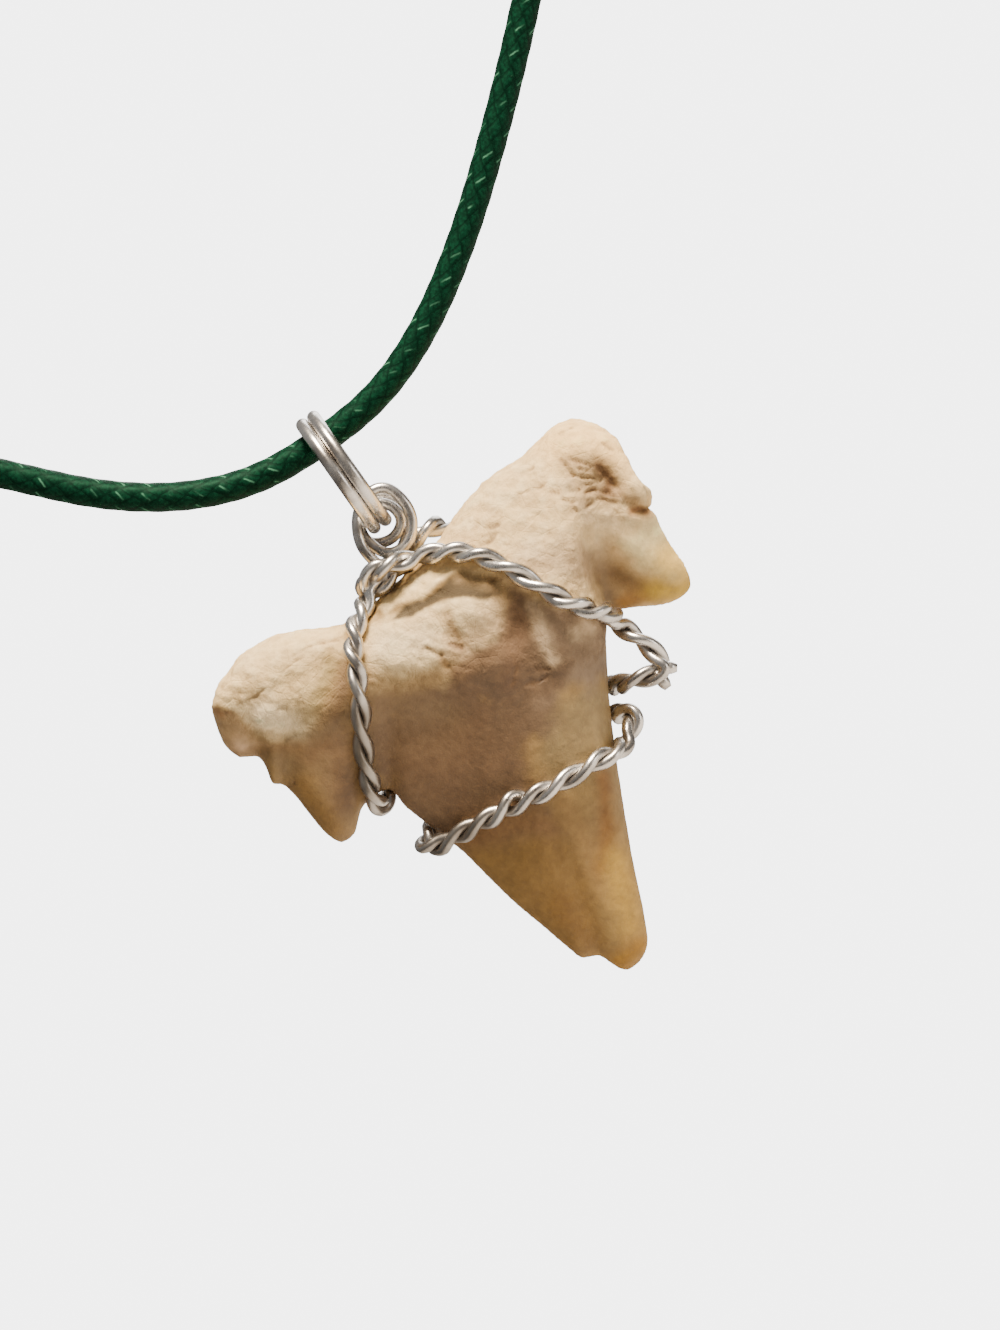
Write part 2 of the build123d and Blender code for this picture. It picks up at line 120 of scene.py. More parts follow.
class Finish:
    """A node tree for one finish. node() adds any node to it."""

    def __init__(self, owner):
        owner.use_nodes = True
        self.owner = owner
        self.tree = owner.node_tree

    def node(self, kind, settings=None, sockets=None, output=0):
        made = self.tree.nodes.new(kind)
        for name, value in (settings or {}).items():
            setattr(made, name, value)
        for name, value in (sockets or {}).items():
            self.feed(made.inputs[name], value)
        return Field(self, made.outputs[output])

    def feed(self, socket, value):
        if isinstance(value, Field):
            self.tree.links.new(value.link, socket)
        else:
            socket.default_value = value

    def noise(self, where, scale, detail, rough=0.5):
        sockets = {"Vector": where, "Scale": scale, "Detail": detail, "Roughness": rough}
        return self.node("ShaderNodeTexNoise", None, sockets)

    def mixed(self, share, first, second, blend="MIX"):
        settings = {"data_type": "RGBA", "blend_type": blend}
        return self.node("ShaderNodeMix", settings, {0: share, 6: first, 7: second}, 2)

    def stretched(self, where, by):
        return self.node("ShaderNodeVectorMath", {"operation": "MULTIPLY"}, {0: where, 1: by})


class Surface(Finish):
    """A material with one Principled shader."""

    def __init__(self, name, **constants):
        super().__init__(bpy.data.materials.new(name))
        self.shader = self.tree.nodes["Principled BSDF"]
        self.where = self.node("ShaderNodeTexCoord", output=3)
        for socket, value in constants.items():
            self.set(socket.replace("_", " "), value)

    def set(self, socket, value):
        self.feed(self.shader.inputs[socket], value)

    def bumped(self, height, depth, strength):
        sockets = {"Height": height, "Distance": depth, "Strength": strength}
        self.set("Normal", self.node("ShaderNodeBump", None, sockets))

    def on(self, *pieces):
        for piece in pieces:
            piece.data.materials.clear()
            piece.data.materials.append(self.owner)


paper = Surface("pale_paper", Base_Color=(0.62, 0.61, 0.60, 1.0), Roughness=0.9)
paper.set("Specular IOR Level", 0.1)
clear = paper.node("ShaderNodeBsdfTransparent")
from_middle = paper.node("ShaderNodeVectorMath", {"operation": "LENGTH"}, {0: paper.where}, 1)
fade = from_middle.kept_within(floor_fades * floor_reach, floor_reach)
both = {0: fade, 1: Field(paper, paper.shader.outputs[0]), 2: clear}
surface = paper.node("ShaderNodeMixShader", None, both)
paper.feed(paper.tree.nodes["Material Output"].inputs["Surface"], surface)
floor_mesh = bpy.data.meshes.new("floor")
floor_form = bmesh.new()
bmesh.ops.create_circle(floor_form, cap_ends=True, segments=floor_around, radius=floor_reach)
floor_form.to_mesh(floor_mesh)
floor_form.free()
floor = bpy.data.objects.new("floor", floor_mesh)
floor.location = (0.0, 0.0, floor_height)
bpy.context.scene.collection.objects.link(floor)
paper.on(floor)

room = bpy.data.worlds.new("studio")
bpy.context.scene.world = room
air = Finish(room)
backdrop = air.tree.nodes["Background"]
facing = air.node("ShaderNodeTexCoord", output=0)
upward = air.node("ShaderNodeSeparateXYZ", None, {0: facing}, 2)
walls = air.mixed(upward.kept_within(-0.5, 0.7), wall_below, wall_above)
in_view = air.node("ShaderNodeLightPath", output=0)
air.feed(backdrop.inputs["Color"], air.mixed(in_view, walls, backdrop_white))
backdrop.inputs["Strength"].default_value = 1.0


def soft_light(name, right, up, toward, size, watts, tint):
    """A square softbox that faces the pendant, placed as the picture shows it, in metres."""
    lamp = bpy.data.objects.new(name, bpy.data.lights.new(name, "AREA"))
    bpy.context.scene.collection.objects.link(lamp)
    lamp.data.size = size
    lamp.data.energy = watts
    lamp.data.color = tint
    aim = in_picture(*lit_spot)
    lamp.location = aim + right * camera_right + up * camera_up - Vector((0.0, toward, 0.0))
    lamp.rotation_euler = (aim - lamp.location).to_track_quat("-Z", "Y").to_euler()


soft_light("window", right=-0.12, up=0.52, toward=0.20, size=0.21, watts=12.5, tint=(1.0, 0.84, 0.66))
soft_light("lamp_beside", right=0.45, up=0.20, toward=0.30, size=0.20, watts=0.5, tint=(1.0, 0.93, 0.85))
soft_light("room_behind", right=0.1, up=0.35, toward=-0.45, size=0.4, watts=2.0, tint=(1.0, 0.97, 0.94))

# Neck cord. A round cord of green cotton, braided over a core, dyed dark and waxed. It runs as
# one length from one end of the clasp round through the bail ring to the other.
cord_thick = 0.0020
clasp_long = 0.0200
braid_carriers = 6  # that turn each way
braid_cell = 0.00175  # along the cord, between two ribs that turn the same way
braid_rise = 0.00004
braid_round = 0.6  # how bluntly a rib is rounded across
braid_dive = 0.45  # the share of its height that a rib loses where it dives under
cord_around = 30
cord_step = 0.0002
cord_curve_fine = 20
fibre_scale = 4500.0
glint_patch_scale = 650.0
dark_green, light_green = (0.0015, 0.017, 0.009, 1.0), (0.004, 0.044, 0.022, 1.0)
groove_shade_green = (0.0006, 0.007, 0.004, 1.0)
painted_glint_green = (0.085, 0.25, 0.16, 1.0)
cord_route = [  # right, back and up, in metres
    (0.0100, 0.0, 0.0),
    (0.0242, 0.0, 0.0),
    (0.0386, 0.0, -0.0017),
    (0.0528, 0.0, -0.0048),
    (0.0681, 0.0, -0.0122),
    (0.0783, 0.0, -0.0258),
    (0.0801, 0.0, -0.0427),
    (0.0753, 0.0, -0.0595),
    (0.0665, 0.0, -0.0746),
    (0.0555, 0.0, -0.0882),
    (0.0445, 0.0, -0.0998),
    (0.0345, 0.0, -0.1096),
    (0.0265, 0.0, -0.1172),
    (0.0206, 0.0, -0.1223),
    (0.0152, 0.0, -0.12655),
    (0.0100, 0.0, -0.1298),
    (0.0050, 0.0, -0.13173),
    (0.0000, 0.0, -0.13208),
    (-0.0052, 0.0, -0.1317),
    (-0.0098, 0.0, -0.1298),
    (-0.0140, 0.0, -0.1267),
    (-0.0178, 0.0, -0.1226),
    (-0.0226, 0.0, -0.1172),
    (-0.0295, 0.0, -0.1093),
    (-0.0386, 0.0, -0.0986),
    (-0.0488, 0.0, -0.0863),
    (-0.0595, 0.0, -0.0725),
    (-0.0686, 0.0, -0.0576),
    (-0.0746, 0.0, -0.0412),
    (-0.0737, 0.0, -0.0242),
    (-0.0648, 0.0, -0.0109),
    (-0.0505, 0.0, -0.0036),
    (-0.0372, 0.0, -0.0012),
    (-0.0236, 0.0, 0.0),
    (-0.0100, 0.0, 0.0),
]
cord_curve = bpy.data.curves.new("cord_line", "CURVE")
cord_curve.dimensions = "3D"
cord_spline = cord_curve.splines.new("NURBS")
cord_spline.points.add(len(cord_route) - 1)
for point, spot in zip(cord_spline.points, cord_route):
    point.co = (*spot, 1.0)
cord_spline.order_u = 3
cord_spline.use_endpoint_u = True
cord_spline.resolution_u = cord_curve_fine
cord_curve_object = bpy.data.objects.new("cord_line", cord_curve)
cord_curve_mesh = bpy.data.meshes.new_from_object(cord_curve_object)
cord_line = np.array([vertex.co for vertex in cord_curve_mesh.vertices])
bpy.data.objects.remove(cord_curve_object)


def evenly(points, step):
    """The same line, in even steps of about this length."""
    runs = np.linalg.norm(np.diff(points, axis=0), axis=1)
    along = np.concatenate([[0.0], np.cumsum(runs)])
    wanted = np.linspace(0.0, along[-1], max(2, round(along[-1] / step)) + 1)
    return np.stack([np.interp(wanted, along, points[:, axis]) for axis in range(3)], 1), wanted


def frames_along(points, side):
    """Side and top directions at each point of a line, turning no more than the line does."""
    ahead = np.gradient(points, axis=0)
    ahead /= np.linalg.norm(ahead, axis=1)[:, None]
    sides = []
    for direction in ahead:
        side = side - direction * np.dot(side, direction)
        side = side / np.linalg.norm(side)
        sides.append(side)
    sides = np.array(sides)
    return sides, np.cross(ahead, sides)


def tube(name, points, radii, around, side=(0.0, 1.0, 0.0)):
    """A round tube along points, with capped ends. radii has one number, or one for each corner."""
    sides, tops = frames_along(points, np.array(side))
    angles = np.linspace(0.0, 2 * math.pi, around, endpoint=False)
    radii = np.broadcast_to(radii, (len(points), around))
    corners = points[:, None] + radii[..., None] * (
        sides[:, None] * np.cos(angles)[:, None] + tops[:, None] * np.sin(angles)[:, None]
    )
    here = np.arange(around)
    after = (here + 1) % around
    rows = np.arange(len(points) - 1)[:, None] * around
    walls = np.stack([rows + here, rows + after, rows + around + after, rows + around + here], -1)
    last = (len(points) - 1) * around
    ends = [tuple(here[::-1]), tuple(last + here)]
    mesh = bpy.data.meshes.new(name)
    faces = [tuple(face) for face in walls.reshape(-1, 4).tolist()] + ends
    mesh.from_pydata(corners.reshape(-1, 3).tolist(), [], faces)
    return mesh


def new_piece(name, mesh, body, slot, *nodes):
    """A smooth object of this mesh, which rides on a body and stands for CAD nodes."""
    piece = bpy.data.objects.new(name, mesh)
    bpy.context.scene.collection.objects.link(piece)
    mesh.shade_smooth()
    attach(piece, body)
    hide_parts(*nodes)
    return piece


cord_points, cord_along = evenly(cord_line, cord_step)
ribs_around = np.linspace(0.0, 1.0, cord_around, endpoint=False)[None] * braid_carriers
ribs_along = cord_along[:, None] / braid_cell
left_rib, right_rib = ribs_around + ribs_along, ribs_around - ribs_along
left_over = (np.floor(left_rib) + np.floor(right_rib)) % 2 == 0
left_mid, right_mid = left_rib % 1 - 0.5, right_rib % 1 - 0.5
rib = np.where(left_over, np.cos(math.pi * left_mid), np.cos(math.pi * right_mid))
crown = np.where(left_over, np.cos(math.pi * right_mid), np.cos(math.pi * left_mid))
braid = np.abs(rib) ** braid_round * (1 - braid_dive + braid_dive * crown)
cord_mesh = tube("neck_cord", cord_points, cord_thick / 2 - braid_rise * (1 - braid), cord_around)
turns = np.linspace(0.0, 2 * math.pi, cord_around, endpoint=False)[None]
spots_on_cord = np.stack(np.broadcast_arrays(np.cos(turns), np.sin(turns), ribs_along), -1)
braid_layer = cord_mesh.attributes.new("braid", "FLOAT_VECTOR", "POINT")
braid_layer.data.foreach_set("vector", spots_on_cord.astype(np.float32).ravel())
cord_piece = new_piece("waxed_cord", cord_mesh, "cord", "green_cord", "neck_cord")

green = Surface("green_cord", Roughness=0.5)
green.set("Specular IOR Level", 0.08)
green.set("Specular Tint", (0.4, 1.0, 0.7, 1.0))
spot_on_cord = green.node("ShaderNodeAttribute", {"attribute_name": "braid"}, output=1)
cosine, sine, cells_along = (
    green.node("ShaderNodeSeparateXYZ", None, {0: spot_on_cord}, part) for part in range(3)
)
cells_around = sine.maths("ARCTAN2", sine, cosine) * (braid_carriers / (2 * math.pi))
left_yarn, right_yarn = cells_around + cells_along, cells_around - cells_along
under = (left_yarn - left_yarn % 1 + right_yarn - right_yarn % 1) % 2
in_left, in_right = left_yarn % 1 - 0.5, right_yarn % 1 - 0.5
off_left, off_right = abs(in_left), abs(in_right)
# Painted shade: the grooves between the yarns are darkened.
seam = (off_left * (1 - under) + off_right * under).kept_within(0.2, 0.5)
cotton = green.noise(green.where, fibre_scale, 3.0)
glint_patches = green.noise(green.where, glint_patch_scale, 2.0)
# Painted highlights: thin light glints along some yarns, in patches, mixed into the colour.
off_glint = abs(in_right - in_left * 0.22 + (cotton - 0.5) * 0.12)
glint = (1 - off_glint.kept_within(0.015, 0.095)) * (1 - off_left.kept_within(0.3, 0.49)) * under
painted_glint = glint * glint_patches.kept_within(0.44, 0.62) * 0.75
dyed = green.mixed(cotton.kept_within(0.3, 0.75), dark_green, light_green)
yarns = green.mixed(seam * 0.7, dyed, groove_shade_green)
green.set("Base Color", green.mixed(painted_glint, yarns, painted_glint_green))
green.bumped(cotton * 0.5 - seam, 0.00002, 0.6)
green.on(cord_piece)

# Barrel clasp. A turned barrel of silver-coloured metal in two halves that screw together at
# the grooved waist. The cord's ends are glued into its mouths. It is out of the picture.
clasp_thick = 0.0056
clasp_profile = [  # along from the middle, as a share of its length, and out, of its radius
    (0.000, 0.80),
    (0.020, 0.80),
    (0.028, 0.84),
    (0.055, 0.97),
    (0.070, 1.00),
    (0.095, 1.00),
    (0.102, 0.95),
    (0.112, 0.95),
    (0.120, 1.00),
    (0.220, 1.00),
    (0.330, 0.985),
    (0.345, 0.94),
    (0.355, 0.94),
    (0.370, 0.975),
    (0.410, 0.93),
    (0.450, 0.84),
    (0.478, 0.74),
    (0.492, 0.66),
    (0.499, 0.60),
    (0.500, 0.50),
    (0.497, 0.40),
]
clasp_around = 72
clasp_brushing = (6000.0, 300.0, 300.0)
clasp_half = clasp_profile[1:][::-1]
mirrored = [(-along, out) for along, out in clasp_half] + clasp_profile
clasp_places = np.array(mirrored) * (clasp_long, clasp_thick / 2)
clasp_angles = np.linspace(0.0, 2 * math.pi, clasp_around, endpoint=False)
clasp_corners = []
clasp_faces = []
for row, (along, out) in enumerate(clasp_places):
    for angle in clasp_angles:
        clasp_corners.append((along, out * math.cos(angle), out * math.sin(angle)))
    if row:
        for spot in range(clasp_around):
            after = (spot + 1) % clasp_around
            low, high = (row - 1) * clasp_around, row * clasp_around
            clasp_faces.append((low + spot, high + spot, high + after, low + after))
clasp_mesh = bpy.data.meshes.new("barrel_clasp")
clasp_last = (len(clasp_places) - 1) * clasp_around
clasp_mouth = range(clasp_last + clasp_around - 1, clasp_last - 1, -1)
clasp_faces += [tuple(range(clasp_around)), tuple(clasp_mouth)]
clasp_mesh.from_pydata(clasp_corners, [], clasp_faces)
clasp_piece = new_piece("screw_clasp", clasp_mesh, "cord", "clasp_metal", "barrel_clasp")
pewter = Surface("clasp_metal", Metallic=1.0)
brushed = pewter.noise(pewter.stretched(pewter.where, clasp_brushing), 1.0, 3.0)
pewter.set("Base Color", (0.70, 0.69, 0.67, 1.0))
pewter.set("Roughness", 0.24 + brushed * 0.2)
pewter.on(clasp_piece)

# Bail ring. A split ring of two turns of round wire, bought ready made, with the eye of the
# wrap threaded on it. It hangs on the cord and swings freely.
ring_long = 0.0092
ring_wire = 0.0009
ring_play = 0.00015
ring_turn_step = 0.00090
ring_jog = math.radians(40.0)
ring_jog_place = math.radians(232.0)
ring_cut = math.radians(10.0)
ring_steps = 260
ring_around = 20
scratch_scale = 2600.0
dull_scale = 500.0
bright_silver, dull_silver = (0.80, 0.78, 0.75, 1.0), (0.42, 0.39, 0.36, 1.0)
spot_brown = (0.17, 0.14, 0.10, 1.0)
crevice_shade_colour = (0.10, 0.08, 0.06, 1.0)  # painted shade where two strands lie pressed together
ring_inner = ring_long / 2 - ring_wire
ring_mean = ring_inner + ring_wire / 2
ring_centre = ring_on_cord.z + cord_thick / 2 + ring_play - ring_inner
ring_turned = np.linspace(0.0, 4 * math.pi - ring_jog - ring_cut, ring_steps)
ring_over = np.clip((ring_turned - (2 * math.pi - ring_jog)) / ring_jog, 0.0, 1.0)
ring_side = (ring_over**2 * (3 - 2 * ring_over) - 0.5) * ring_turn_step
ring_angle = ring_jog_place + ring_jog / 2 + ring_turned
ring_points = np.stack(
    [ring_side, -ring_mean * np.sin(ring_angle), ring_centre + ring_mean * np.cos(ring_angle)], 1
)
ring_mesh = tube("bail_ring", ring_points, ring_wire / 2, ring_around, (1.0, 0.0, 0.0))
ring_piece = new_piece("split_ring", ring_mesh, "ring", "silver_wire", "bail_ring")

silver = Surface("silver_wire", Metallic=1.0)
marks = silver.noise(silver.where, scratch_scale, 4.0, 0.6)
dull = silver.noise(silver.where, dull_scale, 3.0, 0.5)
crevice_shade = silver.node("ShaderNodeAttribute", {"attribute_name": "crevice_shade"}, output=2)
worn = silver.mixed(dull.kept_within(0.35, 0.7), bright_silver, dull_silver)
browned = silver.node("ShaderNodeAttribute", {"attribute_name": "browned"}, output=2)
browned_silver = silver.mixed(browned * 0.95, worn, spot_brown)
silver.set("Base Color", silver.mixed(crevice_shade * 0.55, browned_silver, crevice_shade_colour))
silver.set("Roughness", 0.18 + marks * 0.2 + crevice_shade * 0.25 + browned * 0.15)
silver.bumped(marks, 0.00003, 0.35)
silver.on(ring_piece)

# Shark tooth. A fossil tooth with a matt, cracked, cream root and a harder tan crown, one big
# blade and a small cusplet each side. Broken and worn; the wire alone holds it.
tooth_grain = 0.147  # in millimetres, like all of the tooth's own lengths
skin_easings = 8
face_easings = 40
ease_in, ease_out = 0.6, -0.62
streak_long, streak_high, streak_slant = 38, 9, 0.25  # in pixels, and its rise as a share
draft_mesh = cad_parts["shark_tooth"].data.copy()
draft_mesh.transform(Matrix.Scale(1 / millimetre, 4))
draft = bpy.data.objects.new("tooth_draft", draft_mesh)
bpy.context.scene.collection.objects.link(draft)
even = draft.modifiers.new("even", "REMESH")
even.mode = "VOXEL"
even.voxel_size = tooth_grain
seen = draft.evaluated_get(bpy.context.evaluated_depsgraph_get())
tooth_mesh = bpy.data.meshes.new_from_object(seen)
tooth_mesh.name = "shark_tooth"
bpy.data.objects.remove(draft)
count = len(tooth_mesh.vertices)
spots = np.empty(count * 3, np.float32)
tooth_mesh.vertices.foreach_get("co", spots)
spots = spots.reshape(-1, 3).astype(float)
edges = np.empty(len(tooth_mesh.edges) * 2, np.int32)
tooth_mesh.edges.foreach_get("vertices", edges)
edge_ends = np.concatenate([edges[::2], edges[1::2]])
edge_others = np.concatenate([edges[1::2], edges[::2]])
neighbours = np.bincount(edge_ends, minlength=count)


def evened(values, share):
    """Values at the tooth's places, each moved by a share towards the mean of its neighbours."""
    around = np.bincount(edge_ends, values[edge_others], count) / neighbours
    return values + share * (around - values)


for axis in (0, 1, 2):
    for easing in range(skin_easings):
        spots[:, axis] = evened(evened(spots[:, axis], ease_in), ease_out)
for easing in range(face_easings):
    spots[:, 1] = evened(spots[:, 1], ease_in)


def set_places():
    """Puts the tooth's places into its mesh and returns the way that each faces."""
    tooth_mesh.vertices.foreach_set("co", spots.astype(np.float32).ravel())
    tooth_mesh.update()
    facing = np.empty(count * 3, np.float32)
    tooth_mesh.vertex_normals.foreach_get("vector", facing)
    return facing.reshape(-1, 3).astype(float)


def on_picture(points):
    """The pixels of the photograph that show points, given in metres, across and down."""
    from_ring = (points - np.array(ring_on_cord)) / pixel
    across = from_ring @ np.array(camera_right)
    up = from_ring @ np.array(camera_up)
    return ring_in_picture[0] + across, ring_in_picture[1] - up


normals = set_places()
seen_x, seen_y = on_picture(spots * millimetre)
on_front = np.clip(0.6 - 1.6 * normals[:, 1], 0.0, 1.0)  # fades out just behind the edge


def grain(scale, octaves, seed):
    """Fractal noise at each place of the tooth, about -1 to 1. scale is a lump's size in mm."""
    lift = Vector((seed, 7.1 * seed, -3.3 * seed))
    values = [noise.fractal(Vector(spot) / scale + lift, 1.0, 2.0, octaves) for spot in spots]
    return np.array(values)


def eased(share):
    """A share held between 0 and 1, with a soft start and stop."""
    share = np.clip(share, 0.0, 1.0)
    return share * share * (3 - 2 * share)


def line_distance(corners):
    """Distance in pixels of each place of the tooth from a line through corners, and its side."""
    nearest, side = np.full(count, 1e9), np.zeros(count)
    for (ax, ay), (bx, by) in zip(corners, corners[1:]):
        run_x, run_y = bx - ax, by - ay
        long = max(math.hypot(run_x, run_y), 1e-9)
        share = np.clip(((seen_x - ax) * run_x + (seen_y - ay) * run_y) / long**2, 0.0, 1.0)
        away = np.hypot(seen_x - ax - share * run_x, seen_y - ay - share * run_y)
        across = ((seen_x - ax) * run_y - (seen_y - ay) * run_x) / long
        side = np.where(away < nearest, across, side)
        nearest = np.minimum(nearest, away)
    return nearest, side


def within(corners, soft_edge, waver):
    """1 inside a polygon of the picture and 0 outside it, with an edge softened in pixels."""
    inside = np.zeros(count, bool)
    closed = [*corners, corners[0]]
    for (ax, ay), (bx, by) in zip(closed, closed[1:]):
        crosses = (ay > seen_y) != (by > seen_y)
        level = np.where(crosses, (seen_y - ay) / (by - ay if by != ay else 1.0), 0.0)
        inside ^= crosses & (seen_x < ax + level * (bx - ax))
    depth = np.where(inside, 1.0, -1.0) * line_distance(closed)[0]
    return eased((depth + waver * edge_waver) / soft_edge + 0.5)


edge_waver = grain(scale=1.6, octaves=4, seed=2.0)
coarse = grain(scale=2.4, octaves=3, seed=5.0)
middling = grain(scale=1.0, octaves=3, seed=7.0)
fine = grain(scale=0.4, octaves=3, seed=9.0)
streak_x = seen_x / streak_long
streak_y = (seen_y - streak_slant * seen_x) / streak_high
streaks = [noise.fractal(Vector((x, y, 4.0)), 1.0, 2.0, 3) for x, y in zip(streak_x, streak_y)]
streaks = np.array(streaks)

root_area = [
    (180, 690), (214, 712), (236, 726), (250, 742), (290, 744), (330, 724), (346, 690), (356, 676),
    (376, 688), (410, 688), (450, 682), (480, 668), (510, 662), (540, 672), (575, 668), (615, 650),
    (600, 600), (584, 572), (572, 544), (600, 526), (640, 518), (720, 480), (620, 370), (450, 460),
    (380, 560), (180, 600),
]
back_root_area = [
    (180, 690), (240, 730), (290, 735), (345, 690), (395, 640), (440, 606), (490, 582), (540, 584),
    (575, 566), (600, 530), (650, 515), (720, 480), (620, 370), (450, 460), (380, 560), (180, 600),
]
front_root = within(root_area, soft_edge=14.0, waver=6.0)
back_root = within(back_root_area, soft_edge=14.0, waver=10.0)
root = on_front * front_root + (1 - on_front) * back_root
tooth_lumps = [  # middle in the picture, wide and tall in pixels, turned by degrees, rise in mm
    (470, 614, 24, 20, 10, 0.50),
    (440, 606, 16, 10, -20, 0.16),
    (406, 664, 38, 17, -8, 0.50),
    (392, 676, 30, 8, -4, 0.12),
    (380, 656, 18, 12, 0, 0.14),
    (392, 628, 22, 10, -20, 0.14),
    (437, 662, 12, 8, -25, 0.22),
    (450, 594, 44, 8, -24, -0.16),
    (452, 637, 11, 7, 45, -0.32),
    (512, 626, 12, 26, 8, -0.18),
    (541, 625, 8, 26, -12, 0.20),
    (548, 662, 14, 12, 0, 0.16),
    (574, 620, 14, 30, 0, -0.12),
    (592, 622, 12, 16, 0, 0.16),
    (432, 728, 90, 34, -12, -0.42),
    (470, 800, 60, 50, 30, -0.20),
    (542, 745, 14, 60, 0, 0.18),
    (560, 815, 14, 34, -28, 0.20),
    (590, 880, 12, 50, -24, 0.16),
    (590, 720, 18, 60, 0, -0.24),
    (606, 820, 14, 40, -8, -0.16),
    (576, 560, 8, 34, -22, 0.20),
    (606, 576, 22, 17, 30, -0.26),
    (632, 546, 36, 14, 30, 0.34),
    (664, 578, 34, 26, 0, 0.52),
    (606, 486, 14, 12, 30, -0.50),
    (572, 488, 26, 18, 0, -0.14),
    (590, 446, 30, 13, 10, 0.24),
    (560, 430, 14, 14, 0, 0.10),
    (636, 492, 12, 12, 0, 0.26),
    (520, 480, 34, 20, -30, 0.12),
    (500, 540, 40, 20, -30, -0.10),
    (300, 706, 34, 18, -10, 0.26),
    (268, 716, 22, 14, 0, 0.22),
    (300, 652, 54, 16, -14, 0.16),
    (285, 686, 34, 8, -28, -0.14),
    (344, 690, 12, 44, -8, -0.36),
    (238, 744, 12, 9, 0, 0.22),
    (228, 724, 14, 10, 30, -0.14),
    (262, 748, 30, 8, 0, -0.20),
    (320, 790, 14, 50, -25, 0.16),
    (292, 770, 14, 20, 0, -0.10),
]
tooth_steps = [  # corners with the high side on the left, high in mm, soft and reach in pixels
    ([(478, 576), (466, 573), (455, 576), (430, 594), (408, 606), (388, 612)], -0.12, 4.0, 12),
    ([(520, 640), (480, 660), (445, 674), (400, 682), (366, 684)], 0.20, 11.0, 30),
    ([(348, 655), (338, 690), (322, 716), (290, 737), (250, 735), (236, 716), (212, 704)], 0.10, 8.0, 18),
    ([(652, 512), (640, 517), (628, 512)], 0.22, 4.0, 10),
    ([(596, 606), (584, 580), (576, 556), (571, 542)], 0.10, 10.0, 20),
]
tooth_cuts = [  # cracks and pits: corners in the picture, half width in pixels, depth in mm
    ([(236, 706), (247, 701), (257, 696), (266, 689), (275, 684)], 1.5, 0.12),
    ([(276, 683), (284, 673), (296, 662), (306, 657)], 1.3, 0.08),
    ([(295, 656), (308, 649), (320, 645), (338, 639)], 2.0, 0.12),
    ([(280, 709), (289, 707)], 2.2, 0.12),
    ([(292, 688), (300, 693), (306, 702)], 2.2, 0.10),
    ([(216, 712), (226, 714)], 3.6, 0.06),
    ([(288, 786), (294, 783)], 3.0, 0.14),
    ([(446, 612), (450, 622), (455, 631), (462, 638)], 7.5, 0.20),
    ([(441, 655), (444, 661), (448, 666)], 4.5, 0.16),
    ([(428, 648), (436, 653), (441, 655)], 3.0, 0.14),
    ([(414, 646), (424, 650)], 2.4, 0.10),
    ([(450, 645), (462, 649)], 3.2, 0.18),
    ([(534, 668), (540, 671), (549, 668)], 2.0, 0.14),
    ([(530, 680), (538, 682), (546, 676)], 2.0, 0.14),
    ([(526, 684), (534, 686)], 2.2, 0.12),
    ([(508, 646), (516, 668), (512, 686)], 2.4, 0.08),
    ([(492, 580), (487, 577)], 3.4, 0.22),
    ([(560, 462), (566, 468), (572, 477)], 2.4, 0.22),
    ([(568, 461), (582, 464), (594, 469)], 1.6, 0.14),
    ([(578, 470), (590, 473), (600, 478)], 1.8, 0.18),
    ([(574, 477), (584, 479), (594, 479)], 2.0, 0.20),
    ([(599, 470), (608, 479), (613, 488)], 4.4, 0.26),
    ([(565, 484), (574, 482)], 1.4, 0.12),
    ([(583, 487), (594, 484), (600, 482)], 1.7, 0.16),
    ([(566, 491), (574, 493), (579, 492)], 2.4, 0.20),
    ([(550, 493), (559, 495)], 1.5, 0.10),
    ([(584, 495), (593, 491), (602, 494), (608, 495)], 2.0, 0.20),
    ([(562, 501), (570, 504), (577, 502)], 2.4, 0.20),
    ([(578, 502), (592, 501)], 1.3, 0.12),
    ([(571, 510), (579, 514), (586, 509), (592, 504)], 2.4, 0.22),
    ([(598, 500), (606, 502), (615, 505)], 2.4, 0.18),
    ([(600, 497), (612, 498)], 1.4, 0.14),
    ([(621, 504), (632, 505)], 1.4, 0.12),
    ([(632, 513), (640, 510), (645, 514)], 3.6, 0.14),
    ([(523, 474), (534, 469)], 2.2, 0.12),
    ([(516, 497), (530, 492), (543, 487)], 1.5, 0.10),
    ([(489, 528), (498, 525)], 1.6, 0.08),
    ([(473, 549), (491, 542), (495, 535)], 1.7, 0.11),
    ([(482, 537), (493, 535)], 1.4, 0.07),
    ([(560, 436), (572, 430)], 2.0, 0.08),
    ([(600, 446), (612, 452)], 2.0, 0.08),
]
root_rough = 0.06 * middling + 0.035 * fine + 0.06 * streaks  # in millimetres, as is the rise
rise = (0.04 + 0.05 * root) * coarse + root * root_rough
for middle_x, middle_y, wide, tall, turned, height in tooth_lumps:
    turned_cos, turned_sin = math.cos(math.radians(turned)), math.sin(math.radians(turned))
    across = (seen_x - middle_x) * turned_cos + (seen_y - middle_y) * turned_sin
    along = (seen_y - middle_y) * turned_cos - (seen_x - middle_x) * turned_sin
    rise += on_front * height * np.exp(-((across / wide) ** 2) - (along / tall) ** 2)
for corners, height, soft, reach in tooth_steps:
    away, side = line_distance(corners)
    side = side + 1.5 * edge_waver
    rise += on_front * height * np.tanh(side / soft) * np.exp(-((away / reach) ** 2))
crack_shade = np.zeros(count)
crack_widest = 3.5  # a cut of a smaller half width is a crack, and gets painted shade
for corners, half_width, depth in tooth_cuts:
    away = line_distance(corners)[0]
    share = np.exp(-((np.maximum(away + 2.0 * middling, 0.0) / (0.75 * half_width)) ** 2))
    share *= np.clip(0.75 + 0.9 * fine, 0.0, 1.0)
    rise -= on_front * depth * share
    crack_shade = np.maximum(crack_shade, on_front * share * (half_width < crack_widest))
spots += normals * rise[:, None]
set_places()
tooth_mesh.transform(Matrix.Scale(millimetre, 4))
tooth_piece = new_piece("fossil_tooth", tooth_mesh, "pendant", "fossil_tooth", "shark_tooth")


